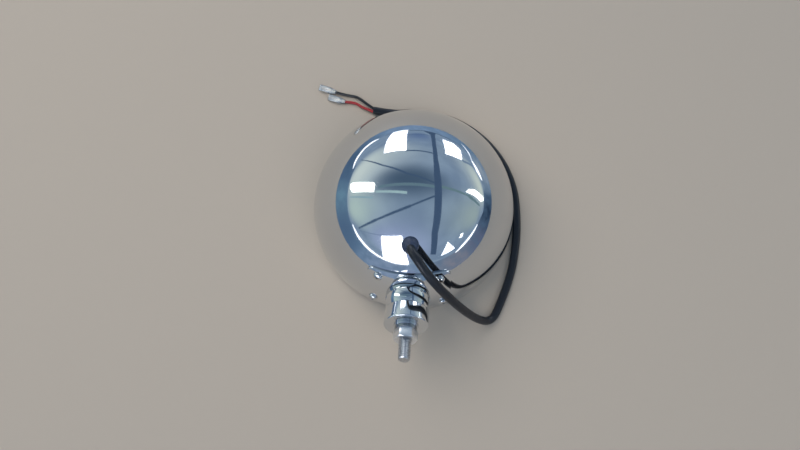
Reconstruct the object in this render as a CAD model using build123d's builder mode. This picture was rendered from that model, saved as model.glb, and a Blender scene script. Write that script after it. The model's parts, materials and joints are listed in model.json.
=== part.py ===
# A round stainless spotlight on a ball swivel with a threaded stud. It rests lens down on its front ring.
# Units are millimetres. Z points from the lens to the back of the bowl, and the post leans out towards -Y.
# The origin is the centre of the front ring's resting face.
import os
from math import asin, atan2, cos, pi, radians, sin, sqrt, tan

from build123d import *

os.makedirs("parts", exist_ok=True)

# Bowl and front ring
bowl_radius = 90.0  # outside of the dome
bowl_wall = 1.2
dome_centre_height = 10.0  # from the resting face to the dome's equator
seam_height = 14.0  # top edge of the front ring
seam_gap = 0.3
skirt_inset = 1.5  # the skirt steps in by this much to enter the ring
ring_wall = 1.2
ring_lip_width = 8.0
ring_edge_radius = 2.0

# Glass, gasket and reflector
gasket_leg = 1.2  # thickness of the rubber above and below the glass
gasket_width = 5.4
gasket_side = 2.2  # rubber outside the glass
gasket_clearance = 0.4  # between the rubber and the ring's wall
glass_thickness = 4.0
glass_clearance = 0.1
reflector_wall = 0.8
reflector_rim_width = 8.5
focal_length = 26.0
bulb_hole_radius = 9.5

# Bulb, from its flange
filament_distance = 25.0
capsule_radius = 4.5
capsule_wall = 0.6
capsule_length = 42.0
filament_radius = 0.9
filament_length = 5.0
flange_radius = 8.2
flange_thickness = 1.5
ferrule_radius = 5.6
ferrule_length = 9.0
blade_width = 6.3
blade_thickness = 0.8
blade_length = 8.0
holder_outer_radius = 14.0
holder_height = 3.5  # above the reflector's vertex
holder_bore_radius = 7.3
holder_seat_thickness = 2.0
holder_clearance = 0.1
clip_wire_radius = 0.6
connector_width = 8.6
connector_depth = 12.0
connector_height = 9.0
connector_base_gap = 0.5
connector_offset = 3.0  # of its middle from the blade, towards the cable
earth_tab_centre = 11.2  # from the lamp's axis
earth_tab_foot = 5.0

# Screws between the ring and the skirt
ring_screw_count = 3
ring_screw_first_angle = 90.0
ring_screw_radius = 1.5
ring_screw_head_radius = 2.5
ring_screw_length = 6.0
ring_nut_width = 5.0
ring_nut_thickness = 2.4
screw_hole_clearance = 0.15

# Post: the line from the dome's centre through the ball and the stud
post_elevation = 26.5  # above the front ring's plane
ball_radius = 18.5
ball_stand = 2.0  # of the ball's centre above the plate
ball_wall = 4.0
slot_width = 10.6
tilt_limit = 15.0
slot_spare_angle = 1.0
stud_radius = 5.0
stud_mean_radius = 4.52  # of the thread, as drawn where washers and nut hold it
stud_length = 51.5
stud_tip_chamfer = 1.0
stud_head_width = 16.0
stud_head_height = 6.4
key_angle = 21.5  # half the angle that the dish's key takes in the slot
key_clearance = 0.1
key_radius = 17.6
key_foot_depth = 1.0  # of the key, above the dish's flat
dish_clearance = 0.3
dish_base = 5.6  # from the ball's centre to the dish's flat
stud_clearance = 0.08
disc_spring_height = 2.2
disc_spring_thickness = 1.1
disc_spring_radius = 10.0
disc_spring_land = 0.6

# Cup, washers and nut
cup_radius = 18.25
cup_rim_distance = 11.4  # from the ball's centre
cup_length = 13.8
cup_seat_clearance = 0.3
cup_rim_round = 1.0
cup_end_chamfer = 1.0
washer_radius = 10.0
washer_thickness = 2.0
washer_bore_clearance = 0.25
spring_washer_radius = 9.1
spring_washer_thickness = 2.5
spring_washer_gap = 1.6
nut_width = 17.0
nut_height = 8.4
nut_chamfer_angle = 30.0
nut_turn = 30.0  # puts a flat at the top
nut_bore_clearance = 0.05

# Saddle plate on the bowl, drawn along the post's line (across, then up the bowl)
saddle_thickness = 1.5
saddle_gasket_thickness = 0.5
saddle_gasket_inset = 1.5
saddle_gasket_clearance = 0.05
backing_thickness = 1.5
backing_inset = 3.0
saddle_top = 26.5
saddle_bottom = -20.0
saddle_top_half_width = 33.5
saddle_bottom_half_width = 36.5
saddle_corner_radius = 5.0
post_opening_clearance = 0.5
upper_screw_across = 25.2
upper_screw_up = 20.1
lower_screw_across = 29.6
lower_screw_up = -12.5
saddle_screw_radius = 2.0
saddle_screw_head_radius = 3.8
saddle_screw_head_height = 2.6
saddle_screw_dome = 1.9
saddle_screw_tail = 1.0
saddle_nut_width = 7.0
saddle_nut_height = 3.2

# Cable, grommet and tie
cable_radius = 3.6
grommet_elevation = 60.2
grommet_bore_clearance = 0.05
grommet_dome_radius = 6.9
grommet_dome_height = 6.4
grommet_tip_radius = 5.0
grommet_middle_share = 0.93  # of the dome's radius, half way up
grommet_tip_slope = 0.3
grommet_mouth_flare = 0.4
grommet_mouth_depth = 2.0
grommet_neck_radius = 5.4
grommet_inner_radius = 7.6
grommet_inner_thickness = 2.0
grommet_hole_clearance = 0.1
cable_stub_length = 11.0  # inside the bowl
cable_rise_length = 8.5  # straight out of the bowl
tie_outer_radius = 5.2
tie_width = 4.0
wire_radius = 1.3
wire_offset = 1.55  # of each core from the cable's middle
wire_lead_out = 6.0
lead_run = 7.0  # of each inner lead, straight on from the jacket
lead_drop = 7.0
lead_tab_clearance = 0.9  # between the red lead and the earth tab that it passes over
lead_red_reach = 13.0
lead_red_entry = 9.0
lead_black_reach = 12.0
lead_black_entry = 6.0
terminal_length = 14.0
terminal_width = 5.0
terminal_height = 2.2
terminal_wall = 0.4
terminal_barrel_radius = 1.55
terminal_barrel_length = 5.5
terminal_bore_clearance = 0.04
sleeve_length = 17.0
sleeve_width = 6.4
sleeve_height = 4.2
sleeve_wall = 0.5
sleeve_throat_radius = 2.1
sleeve_throat_length = 5.0
terminal_start = 1.0  # from the sleeve's wire end

# Heights in the front stack, each on the one before
gasket_bottom = ring_wall
glass_bottom = gasket_bottom + gasket_leg
glass_top = glass_bottom + glass_thickness
gasket_top = glass_top + gasket_leg
flange_top = gasket_top + reflector_wall
ring_screw_height = (flange_top + seam_height) / 2
ring_inner_radius = bowl_radius - ring_wall
gasket_outer_radius = ring_inner_radius - gasket_clearance
gasket_slot_radius = gasket_outer_radius - gasket_side
gasket_inner_radius = gasket_outer_radius - gasket_width
skirt_radius = bowl_radius - skirt_inset
skirt_inner_radius = skirt_radius - bowl_wall
bowl_inner_radius = bowl_radius - bowl_wall
step_height = seam_height + seam_gap
mouth_height = gasket_top
reflector_mouth_radius = skirt_radius - reflector_rim_width
vertex_height = mouth_height + reflector_mouth_radius**2 / (4 * focal_length)

# Distances from the dome's centre along the post
gasket_face = bowl_radius + saddle_gasket_thickness
plate_face = gasket_face + saddle_thickness
backing_face = bowl_inner_radius - backing_thickness
ball_centre_distance = plate_face + ball_stand
ball_inner_radius = ball_radius - ball_wall
dish_radius = ball_inner_radius - dish_clearance
seat_radius = ball_radius + cup_seat_clearance
head_face = dish_base - disc_spring_height
cup_end = cup_rim_distance + cup_length
washer_end = cup_end + washer_thickness
spring_washer_end = washer_end + spring_washer_thickness
nut_end = spring_washer_end + nut_height
stud_end = head_face + stud_length
cable_exit = bowl_radius  # where the inner stub meets the free cable, inside the grommet
cable_inner_end = cable_exit - cable_stub_length
slot_angle = tilt_limit + key_angle + slot_spare_angle

# Placing planes and axes
dome_centre = Vector(0, 0, dome_centre_height)
post_lean = radians(post_elevation)
post_direction = Vector(0, -cos(post_lean), sin(post_lean))
post_up = Vector(0, sin(post_lean), cos(post_lean))
ball_centre = dome_centre + post_direction * ball_centre_distance
dome_post_plane = Plane(origin=dome_centre, x_dir=(1, 0, 0), z_dir=post_direction)
ball_plane = Plane(origin=ball_centre, x_dir=(1, 0, 0), z_dir=post_direction)
dome_post_section = Plane(origin=dome_centre, x_dir=(1, 0, 0), z_dir=-post_up)
ball_section = Plane(origin=ball_centre, x_dir=(1, 0, 0), z_dir=-post_up)
tilt_plane = Plane(origin=ball_centre, x_dir=post_up, z_dir=(1, 0, 0))
post_axis = Axis(dome_centre, post_direction)
grommet_lean = radians(grommet_elevation)
grommet_direction = Vector(0, -cos(grommet_lean), sin(grommet_lean))
grommet_up = Vector(0, sin(grommet_lean), cos(grommet_lean))
grommet_section = Plane(origin=dome_centre, x_dir=(1, 0, 0), z_dir=-grommet_up)
grommet_plane = Plane(origin=dome_centre, x_dir=(1, 0, 0), z_dir=grommet_direction)
grommet_axis = Axis(dome_centre, grommet_direction)


def drop(radius, across):
    """Height of a sphere's surface above its centre plane, at a distance from its axis."""
    return sqrt(radius**2 - across**2)


def radial_plane(across, up):
    """Plane at the dome's centre that faces a point of the saddle plate."""
    along = sqrt(plate_face**2 - across**2 - up**2)
    facing = Vector(across, 0, 0) + post_up * up + post_direction * along
    return Plane(origin=dome_centre, x_dir=(0, 0, 1), z_dir=facing)


saddle_screw_planes = [
    radial_plane(side * across, up)
    for across, up in ((upper_screw_across, upper_screw_up), (lower_screw_across, lower_screw_up))
    for side in (-1, 1)
]
ring_screw_angles = [ring_screw_first_angle + i * 360 / ring_screw_count for i in range(ring_screw_count)]
ring_screw_planes = [
    Plane(origin=(0, 0, ring_screw_height), x_dir=(0, 0, 1), z_dir=(cos(radians(a)), sin(radians(a)), 0))
    for a in ring_screw_angles
]


# Bowl: a drawn dome whose edge steps in and enters the front ring
with BuildPart() as bowl_shell:
    with BuildSketch(Plane.XZ):
        with BuildLine():
            step = step_height - dome_centre_height
            inner_step = step + bowl_wall
            edge = (drop(bowl_radius, step), step_height)
            inner_edge = (drop(bowl_inner_radius, inner_step), step_height + bowl_wall)
            half_turn = radians(45)
            outer_middle = (bowl_radius * cos(half_turn), dome_centre_height + bowl_radius * sin(half_turn))
            inner_middle = (
                bowl_inner_radius * cos(half_turn),
                dome_centre_height + bowl_inner_radius * sin(half_turn),
            )
            ThreePointArc((0, dome_centre_height + bowl_radius), outer_middle, edge)
            Polyline(
                edge,
                (skirt_radius, step_height),
                (skirt_radius, flange_top),
                (skirt_inner_radius, flange_top),
                (skirt_inner_radius, step_height + bowl_wall),
                inner_edge,
            )
            ThreePointArc(inner_edge, inner_middle, (0, dome_centre_height + bowl_inner_radius))
            Line((0, dome_centre_height + bowl_inner_radius), (0, dome_centre_height + bowl_radius))
        make_face()
    revolve(axis=Axis.Z)
    post_opening_radius = ball_inner_radius + post_opening_clearance
    with BuildSketch(dome_post_plane.offset(backing_face)):
        Circle(post_opening_radius)
    extrude(amount=plate_face - backing_face, mode=Mode.SUBTRACT)
    with BuildSketch(grommet_plane.offset(backing_face)):
        Circle(grommet_neck_radius + grommet_hole_clearance)
    extrude(amount=plate_face - backing_face, mode=Mode.SUBTRACT)
    for plane in saddle_screw_planes:
        with BuildSketch(plane.offset(backing_face)):
            Circle(saddle_screw_radius + screw_hole_clearance)
        extrude(amount=plate_face - backing_face, mode=Mode.SUBTRACT)
    for plane in ring_screw_planes:
        with BuildSketch(plane.offset(skirt_inner_radius - bowl_wall)):
            Circle(ring_screw_radius + screw_hole_clearance)
        extrude(amount=3 * bowl_wall, mode=Mode.SUBTRACT)

head_depth = ring_screw_head_radius - ring_screw_radius

# Front ring: its lip holds the glass, and its wall carries on the line of the dome
with BuildPart() as bezel_ring:
    with BuildSketch(Plane.XZ):
        with BuildLine():
            rise = seam_height - dome_centre_height
            turned = ring_edge_radius * (1 - cos(radians(45)))
            half_rise = asin(rise / bowl_radius) / 2
            Polyline(
                (bowl_radius - ring_edge_radius, 0),
                (bowl_radius - ring_lip_width, 0),
                (bowl_radius - ring_lip_width, ring_wall),
                (ring_inner_radius, ring_wall),
                (ring_inner_radius, dome_centre_height),
                (drop(bowl_radius, rise) - ring_wall, seam_height),
                (drop(bowl_radius, rise), seam_height),
            )
            ThreePointArc(
                (drop(bowl_radius, rise), seam_height),
                (bowl_radius * cos(half_rise), dome_centre_height + bowl_radius * sin(half_rise)),
                (bowl_radius, dome_centre_height),
            )
            Line((bowl_radius, dome_centre_height), (bowl_radius, ring_edge_radius))
            ThreePointArc(
                (bowl_radius, ring_edge_radius),
                (bowl_radius - turned, turned),
                (bowl_radius - ring_edge_radius, 0),
            )
        make_face()
    revolve(axis=Axis.Z)
    for plane in ring_screw_planes:
        with BuildSketch(plane.offset(ring_inner_radius - ring_wall)):
            Circle(ring_screw_radius + screw_hole_clearance)
        extrude(amount=3 * ring_wall, mode=Mode.SUBTRACT)
        with BuildSketch(plane.offset(bowl_radius - head_depth)):
            Circle(ring_screw_radius + screw_hole_clearance)
        with BuildSketch(plane.offset(bowl_radius + screw_hole_clearance)):
            Circle(ring_screw_head_radius + 2 * screw_hole_clearance)
        loft(mode=Mode.SUBTRACT)

# Countersunk screws of the front ring, with flush heads
with BuildPart() as bezel_screws:
    for plane in ring_screw_planes:
        with BuildSketch(plane.offset(bowl_radius - ring_screw_length)):
            Circle(ring_screw_radius)
        extrude(amount=ring_screw_length - head_depth - screw_hole_clearance)
        with BuildSketch(plane.offset(bowl_radius - head_depth - screw_hole_clearance)):
            Circle(ring_screw_radius)
        with BuildSketch(plane.offset(bowl_radius - screw_hole_clearance)):
            Circle(ring_screw_head_radius)
        loft()

# Clinch nuts on the inside of the skirt
with BuildPart() as bezel_nuts:
    for plane in ring_screw_planes:
        nut_face = drop(skirt_inner_radius, ring_nut_width / 2)
        with BuildSketch(plane.offset(nut_face - ring_nut_thickness)):
            RegularPolygon(ring_nut_width / 2, 6, major_radius=False, rotation=nut_turn)
            Circle(ring_screw_radius, mode=Mode.SUBTRACT)
        extrude(amount=ring_nut_thickness)

# Rubber channel round the edge of the glass
with BuildPart() as lens_gasket:
    with BuildSketch(Plane.XZ):
        with BuildLine():
            Polyline(
                (gasket_inner_radius, gasket_bottom),
                (gasket_outer_radius, gasket_bottom),
                (gasket_outer_radius, gasket_top),
                (gasket_inner_radius, gasket_top),
                (gasket_inner_radius, glass_top),
                (gasket_slot_radius, glass_top),
                (gasket_slot_radius, glass_bottom),
                (gasket_inner_radius, glass_bottom),
                close=True,
            )
        make_face()
    revolve(axis=Axis.Z)

with BuildPart() as lens_glass:
    with BuildSketch(Plane.XY.offset(glass_bottom)):
        Circle(gasket_slot_radius - glass_clearance)
    extrude(amount=glass_thickness)
    chamfer(lens_glass.edges(), length=glass_thickness / 10)


def parabola_height(across):
    """Height of the reflecting face at a distance from the lamp's axis."""
    return vertex_height - across**2 / (4 * focal_length)


# Spun reflector: a parabola with a flat rim between the gasket and the skirt
with BuildPart() as reflector:
    with BuildSketch(Plane.XZ):
        with BuildLine():
            bowl_span = reflector_mouth_radius - bulb_hole_radius
            stations = [bulb_hole_radius + bowl_span * i / 6 for i in range(7)]
            face = [(x, parabola_height(x)) for x in stations]
            back = [(x, parabola_height(x) + reflector_wall) for x in stations]
            Spline(face)
            Line(face[-1], (skirt_radius, mouth_height))
            Line((skirt_radius, mouth_height), (skirt_radius, flange_top))
            Line((skirt_radius, flange_top), back[-1])
            Spline(back)
            Line(back[0], face[0])
        make_face()
    revolve(axis=Axis.Z)

# Bulb holder: a collar in the reflector's hole, with a seat for the bulb's flange
flange_height = vertex_height - focal_length + filament_distance
holder_shoulder = parabola_height(bulb_hole_radius) + reflector_wall
holder_top = vertex_height + holder_height
with BuildPart() as bulb_holder:
    with BuildSketch(Plane.XZ):
        with BuildLine():
            Polyline(
                (holder_bore_radius, flange_height - holder_seat_thickness),
                (bulb_hole_radius - holder_clearance, flange_height - holder_seat_thickness),
                (bulb_hole_radius - holder_clearance, holder_shoulder),
                (holder_outer_radius, holder_shoulder),
                (holder_outer_radius, holder_top),
                (flange_radius + holder_clearance, holder_top),
                (flange_radius + holder_clearance, flange_height),
                (holder_bore_radius, flange_height),
                close=True,
            )
        make_face()
    revolve(axis=Axis.Z)

# Bulb: flange and ferrule with the contact blade, the quartz envelope and its filament
with BuildPart() as bulb_base:
    with BuildSketch(Plane.XY.offset(flange_height)):
        Circle(flange_radius)
    extrude(amount=flange_thickness)
    with BuildSketch(Plane.XY.offset(flange_height + flange_thickness)):
        Circle(ferrule_radius)
    extrude(amount=ferrule_length)
    with BuildSketch(Plane.XY.offset(flange_height + flange_thickness + ferrule_length)):
        Rectangle(blade_width, blade_thickness)
    extrude(amount=blade_length)

filament_height = flange_height - filament_distance
capsule_end = flange_height - capsule_length
with BuildPart() as bulb_capsule:
    with BuildSketch(Plane.XZ):
        with BuildLine():
            inner_radius = capsule_radius - capsule_wall
            turned_out = capsule_radius * cos(radians(45))
            turned_in = inner_radius * cos(radians(45))
            tip_centre = capsule_end + capsule_radius
            stem = flange_height - holder_seat_thickness
            Line((capsule_radius, tip_centre), (capsule_radius, flange_height))
            Line((capsule_radius, flange_height), (0, flange_height))
            Line((0, flange_height), (0, stem))
            Line((0, stem), (inner_radius, stem))
            Line((inner_radius, stem), (inner_radius, tip_centre))
            ThreePointArc(
                (inner_radius, tip_centre),
                (turned_in, tip_centre - turned_in),
                (0, tip_centre - inner_radius),
            )
            Line((0, tip_centre - inner_radius), (0, capsule_end))
            ThreePointArc(
                (0, capsule_end),
                (turned_out, tip_centre - turned_out),
                (capsule_radius, tip_centre),
            )
        make_face()
    revolve(axis=Axis.Z)

with BuildPart() as bulb_filament:
    with BuildSketch(Plane.XY.offset(filament_height - filament_length / 2)):
        Circle(filament_radius)
    extrude(amount=filament_length)
    with BuildSketch(Plane.XY.offset(filament_height)):
        Circle(filament_radius / 3)
    extrude(amount=flange_height - holder_seat_thickness - filament_height)

# Wire clip across the flange, hooked over the holder's rim on both sides
clip_height = holder_top + clip_wire_radius
clip_reach = holder_outer_radius - clip_wire_radius
clip_side = ferrule_radius + 2 * clip_wire_radius
with BuildPart() as bulb_spring_clip:
    with BuildLine() as clip_line:
        clip_points = [
            (-clip_reach, -clip_side / 2, clip_height),
            (-clip_reach, clip_side, clip_height),
            (clip_reach, clip_side, clip_height),
            (clip_reach, -clip_side, clip_height),
            (-clip_side, -clip_side, clip_height),
        ]
        FilletPolyline(clip_points, radius=[4 * clip_wire_radius] * 3)
    with BuildSketch(Plane(origin=clip_line.line @ 0, z_dir=clip_line.line % 0)):
        Circle(clip_wire_radius)
    sweep(path=clip_line.line)

# Flag connector on the blade, and the earth tab beside the bulb
blade_bottom = flange_height + flange_thickness + ferrule_length
connector_bottom = blade_bottom + connector_base_gap
with BuildPart() as feed_connector:
    with BuildSketch(Plane.XY.offset(connector_bottom)):
        with Locations((0, -connector_offset)):
            RectangleRounded(connector_width, connector_depth, connector_width / 6)
    extrude(amount=connector_height)
    fillet(feed_connector.faces().sort_by(Axis.Z)[-1].edges(), radius=connector_width / 10)
    with BuildSketch(Plane.XY.offset(connector_bottom)):
        Rectangle(blade_width + 2 * holder_clearance, blade_thickness + 2 * holder_clearance)
    extrude(amount=blade_length, mode=Mode.SUBTRACT)

with BuildPart() as earth_tab:
    with BuildSketch(Plane.XY.offset(holder_top)):
        with Locations((0, -earth_tab_centre)):
            Rectangle(blade_width, earth_tab_foot)
    extrude(amount=blade_thickness)
    with BuildSketch(Plane.XY.offset(holder_top + blade_thickness)):
        with Locations((0, -earth_tab_centre - earth_tab_foot / 2 + blade_thickness / 2)):
            Rectangle(blade_width, blade_thickness)
    extrude(amount=blade_length)

# Sheets on the bowl under the post: the plate and its gasket outside, the backing plate inside
def saddle_sheet(inner, outer, inset, opening_radius):
    """A sheet between two spheres about the dome's centre, with the saddle's outline and holes."""
    with BuildPart() as sheet:
        with BuildSketch(dome_post_plane) as outline:
            with BuildLine():
                Polyline(
                    (-saddle_bottom_half_width + inset, saddle_bottom + inset),
                    (saddle_bottom_half_width - inset, saddle_bottom + inset),
                    (saddle_top_half_width - inset, saddle_top - inset),
                    (-saddle_top_half_width + inset, saddle_top - inset),
                    close=True,
                )
            make_face()
            fillet(outline.vertices(), radius=saddle_corner_radius)
        extrude(amount=outer)
        with BuildSketch(dome_post_section):
            with BuildLine():
                wide, half = radians(45), radians(22.5)
                Line((0, inner), (0, outer))
                ThreePointArc(
                    (0, outer),
                    (outer * sin(half), outer * cos(half)),
                    (outer * sin(wide), outer * cos(wide)),
                )
                Line((outer * sin(wide), outer * cos(wide)), (inner * sin(wide), inner * cos(wide)))
                ThreePointArc(
                    (inner * sin(wide), inner * cos(wide)),
                    (inner * sin(half), inner * cos(half)),
                    (0, inner),
                )
            make_face()
        revolve(axis=post_axis, mode=Mode.INTERSECT)
        with BuildSketch(dome_post_plane.offset(backing_face)):
            Circle(opening_radius)
        extrude(amount=plate_face - backing_face, mode=Mode.SUBTRACT)
        for plane in saddle_screw_planes:
            with BuildSketch(plane.offset(backing_face / 2)):
                Circle(saddle_screw_radius + screw_hole_clearance)
            extrude(amount=plate_face, mode=Mode.SUBTRACT)
    return sheet


saddle_plate = saddle_sheet(gasket_face, plate_face, 0, ball_inner_radius)
gasket_inner = bowl_radius + saddle_gasket_clearance
gasket_outer = gasket_face - saddle_gasket_clearance
saddle_gasket = saddle_sheet(gasket_inner, gasket_outer, saddle_gasket_inset, post_opening_radius)
backing_plate = saddle_sheet(backing_face, bowl_inner_radius, backing_inset, post_opening_radius)

# Pan-head screws of the saddle plate, and their nuts inside the bowl
with BuildPart() as saddle_screws:
    for plane in saddle_screw_planes:
        with BuildSketch(plane.offset(plate_face)):
            Circle(saddle_screw_head_radius)
        extrude(amount=saddle_screw_head_height)
        top_rim = saddle_screws.edges().filter_by(GeomType.CIRCLE).sort_by(Axis(dome_centre, plane.z_dir))[-1]
        fillet(top_rim, radius=saddle_screw_dome)
        tail_end = backing_face - saddle_nut_height - saddle_screw_tail
        with BuildSketch(plane.offset(tail_end)):
            Circle(saddle_screw_radius)
        extrude(amount=plate_face - tail_end)

with BuildPart() as saddle_nuts:
    for plane in saddle_screw_planes:
        corner = saddle_nut_width / sqrt(3)
        with BuildSketch(plane.offset(drop(backing_face, corner) - saddle_nut_height)):
            RegularPolygon(saddle_nut_width / 2, 6, major_radius=False)
            Circle(saddle_screw_radius + nut_bore_clearance, mode=Mode.SUBTRACT)
        extrude(amount=saddle_nut_height)

# Ball boss: a hollow ball that stands on the plate, with a slot that lets the stud tilt
with BuildPart() as swivel_boss:
    with BuildSketch(ball_section):
        with BuildLine():
            # the plate's sphere as seen from the ball's centre
            meeting = (plate_face**2 - ball_radius**2 + ball_centre_distance**2) / (2 * ball_centre_distance)
            foot = (drop(plate_face, meeting), meeting - ball_centre_distance)
            inner_foot = (ball_inner_radius, drop(plate_face, ball_inner_radius) - ball_centre_distance)
            between = (foot[0] + inner_foot[0]) / 2
            foot_middle = (between, drop(plate_face, between) - ball_centre_distance)
            slant = radians(45)
            ThreePointArc(foot, (ball_radius * cos(slant), ball_radius * sin(slant)), (0, ball_radius))
            Line((0, ball_radius), (0, ball_inner_radius))
            ThreePointArc(
                (0, ball_inner_radius),
                (ball_inner_radius * sin(slant), ball_inner_radius * cos(slant)),
                (ball_inner_radius, 0),
            )
            Line((ball_inner_radius, 0), inner_foot)
            ThreePointArc(inner_foot, foot_middle, foot)
        make_face()
    revolve(axis=post_axis)
    with BuildSketch(tilt_plane):
        with BuildLine():
            reach = 2 * ball_radius
            wedge = radians(slot_angle)
            Polyline(
                (0, 0),
                (reach * sin(wedge), reach * cos(wedge)),
                (-reach * sin(wedge), reach * cos(wedge)),
                close=True,
            )
        make_face()
    extrude(amount=slot_width / 2, both=True, mode=Mode.SUBTRACT)

# Dish inside the ball: it covers the slot, and its key slides in it
with BuildPart() as clamp_dish:
    with BuildSketch(ball_section):
        with BuildLine():
            dish_rim = drop(dish_radius, dish_base)
            lean = atan2(dish_rim, dish_base) / 2
            Line((0, dish_base), (0, dish_radius))
            ThreePointArc(
                (0, dish_radius),
                (dish_radius * sin(lean), dish_radius * cos(lean)),
                (dish_rim, dish_base),
            )
            Line((dish_rim, dish_base), (0, dish_base))
        make_face()
    revolve(axis=post_axis)
    with BuildSketch(tilt_plane):
        with BuildLine():
            key_half = radians(key_angle)
            key_foot = dish_base + key_foot_depth
            Line((0, key_foot), (key_foot * tan(key_half), key_foot))
            Line(
                (key_foot * tan(key_half), key_foot),
                (key_radius * sin(key_half), key_radius * cos(key_half)),
            )
            ThreePointArc(
                (key_radius * sin(key_half), key_radius * cos(key_half)),
                (0, key_radius),
                (-key_radius * sin(key_half), key_radius * cos(key_half)),
            )
            Line(
                (-key_radius * sin(key_half), key_radius * cos(key_half)),
                (-key_foot * tan(key_half), key_foot),
            )
            Line((-key_foot * tan(key_half), key_foot), (0, key_foot))
        make_face()
    extrude(amount=slot_width / 2 - key_clearance, both=True)
    with BuildSketch(ball_plane):
        Circle(stud_radius + stud_clearance)
    extrude(amount=ball_radius, mode=Mode.SUBTRACT)

with BuildPart() as disc_spring:
    with BuildSketch(ball_section):
        with BuildLine():
            spring_bore = stud_radius + 2 * stud_clearance
            cone_rise = disc_spring_height - disc_spring_thickness
            Polyline(
                (spring_bore, head_face),
                (spring_bore + disc_spring_land, head_face),
                (disc_spring_radius, head_face + cone_rise),
                (disc_spring_radius, dish_base),
                (disc_spring_radius - disc_spring_land, dish_base),
                (spring_bore, head_face + disc_spring_thickness),
                close=True,
            )
        make_face()
    revolve(axis=post_axis)

# Stud: a hexagon bolt whose head pulls the dish against the ball
with BuildPart() as mount_stud:
    with BuildSketch(ball_plane.offset(head_face - stud_head_height)):
        RegularPolygon(stud_head_width / 2, 6, major_radius=False)
    extrude(amount=stud_head_height)
    with BuildSketch(ball_plane.offset(head_face)):
        Circle(stud_radius)
    extrude(amount=cup_end - head_face)
    with BuildSketch(ball_plane.offset(cup_end)):
        Circle(stud_mean_radius)
    extrude(amount=nut_end - cup_end)
    with BuildSketch(ball_plane.offset(nut_end)):
        Circle(stud_radius)
    extrude(amount=stud_end - nut_end - stud_tip_chamfer)
    with BuildSketch(ball_plane.offset(stud_end - stud_tip_chamfer)):
        Circle(stud_radius)
    with BuildSketch(ball_plane.offset(stud_end)):
        Circle(stud_radius - stud_tip_chamfer)
    loft()

# Cup: its hollow face seats on the ball, and its flat end stands on what carries the lamp
with BuildPart() as base_cup:
    with BuildSketch(ball_section):
        with BuildLine():
            seat_rim = drop(seat_radius, cup_rim_distance)
            cup_bore = stud_radius + stud_clearance
            seat_bottom = drop(seat_radius, cup_bore)
            seat_lean = (atan2(seat_rim, cup_rim_distance) + atan2(cup_bore, seat_bottom)) / 2
            rim_turn = cup_rim_round * sin(radians(45))
            rim_middle = (
                cup_radius - cup_rim_round + rim_turn,
                cup_rim_distance + cup_rim_round - rim_turn,
            )
            Line((seat_rim, cup_rim_distance), (cup_radius - cup_rim_round, cup_rim_distance))
            ThreePointArc(
                (cup_radius - cup_rim_round, cup_rim_distance),
                rim_middle,
                (cup_radius, cup_rim_distance + cup_rim_round),
            )
            Polyline(
                (cup_radius, cup_rim_distance + cup_rim_round),
                (cup_radius, cup_end - cup_end_chamfer),
                (cup_radius - cup_end_chamfer, cup_end),
                (cup_bore, cup_end),
                (cup_bore, seat_bottom),
            )
            ThreePointArc(
                (cup_bore, seat_bottom),
                (seat_radius * sin(seat_lean), seat_radius * cos(seat_lean)),
                (seat_rim, cup_rim_distance),
            )
        make_face()
    revolve(axis=post_axis)

with BuildPart() as flat_washer:
    with BuildSketch(ball_plane.offset(cup_end)):
        Circle(washer_radius)
        Circle(stud_radius + washer_bore_clearance, mode=Mode.SUBTRACT)
    extrude(amount=washer_thickness)

with BuildPart() as spring_washer:
    with BuildSketch(ball_plane.offset(washer_end)):
        Circle(spring_washer_radius)
        Circle(stud_radius + washer_bore_clearance, mode=Mode.SUBTRACT)
        with Locations((spring_washer_radius, 0)):
            Rectangle(2 * (spring_washer_radius - stud_radius), spring_washer_gap, mode=Mode.SUBTRACT)
    extrude(amount=spring_washer_thickness)

with BuildPart() as hex_nut:
    with BuildSketch(ball_plane.offset(spring_washer_end)):
        RegularPolygon(nut_width / 2, 6, major_radius=False, rotation=nut_turn)
        Circle(stud_mean_radius + nut_bore_clearance, mode=Mode.SUBTRACT)
    extrude(amount=nut_height)
    with BuildSketch(ball_section):
        with BuildLine():
            nut_corner = nut_width / sqrt(3)
            corner_drop = (nut_corner - nut_width / 2) * tan(radians(nut_chamfer_angle))
            Polyline(
                (0, spring_washer_end),
                (nut_width / 2, spring_washer_end),
                (nut_corner, spring_washer_end + corner_drop),
                (nut_corner, nut_end - corner_drop),
                (nut_width / 2, nut_end),
                (0, nut_end),
                close=True,
            )
        make_face()
    revolve(axis=post_axis, mode=Mode.INTERSECT)

# Rubber grommet: a dome outside, a neck in the bowl's hole and a flange inside
with BuildPart() as cable_grommet:
    with BuildSketch(grommet_section):
        with BuildLine():
            bore = cable_radius + grommet_bore_clearance
            tip_distance = bowl_radius + grommet_dome_height
            dome_foot = (grommet_dome_radius, drop(bowl_radius, grommet_dome_radius))
            neck_outer = (grommet_neck_radius, drop(bowl_radius, grommet_neck_radius))
            neck_inner = (grommet_neck_radius, drop(bowl_inner_radius, grommet_neck_radius))
            flange_foot = (grommet_inner_radius, drop(bowl_inner_radius, grommet_inner_radius))
            Spline(
                dome_foot,
                (grommet_dome_radius * grommet_middle_share, bowl_radius + grommet_dome_height / 2),
                (grommet_tip_radius, tip_distance),
                tangents=((0, 1), (-1, grommet_tip_slope)),
            )
            Polyline(
                (grommet_tip_radius, tip_distance),
                (bore + grommet_mouth_flare, tip_distance),
                (bore, tip_distance - grommet_mouth_depth),
                (bore, bowl_inner_radius - grommet_inner_thickness),
                (grommet_inner_radius, bowl_inner_radius - grommet_inner_thickness),
                flange_foot,
                neck_inner,
                neck_outer,
            )
            foot_centre = (grommet_neck_radius + grommet_dome_radius) / 2
            ThreePointArc(neck_outer, (foot_centre, drop(bowl_radius, foot_centre)), dome_foot)
        make_face()
    revolve(axis=grommet_axis)

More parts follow.
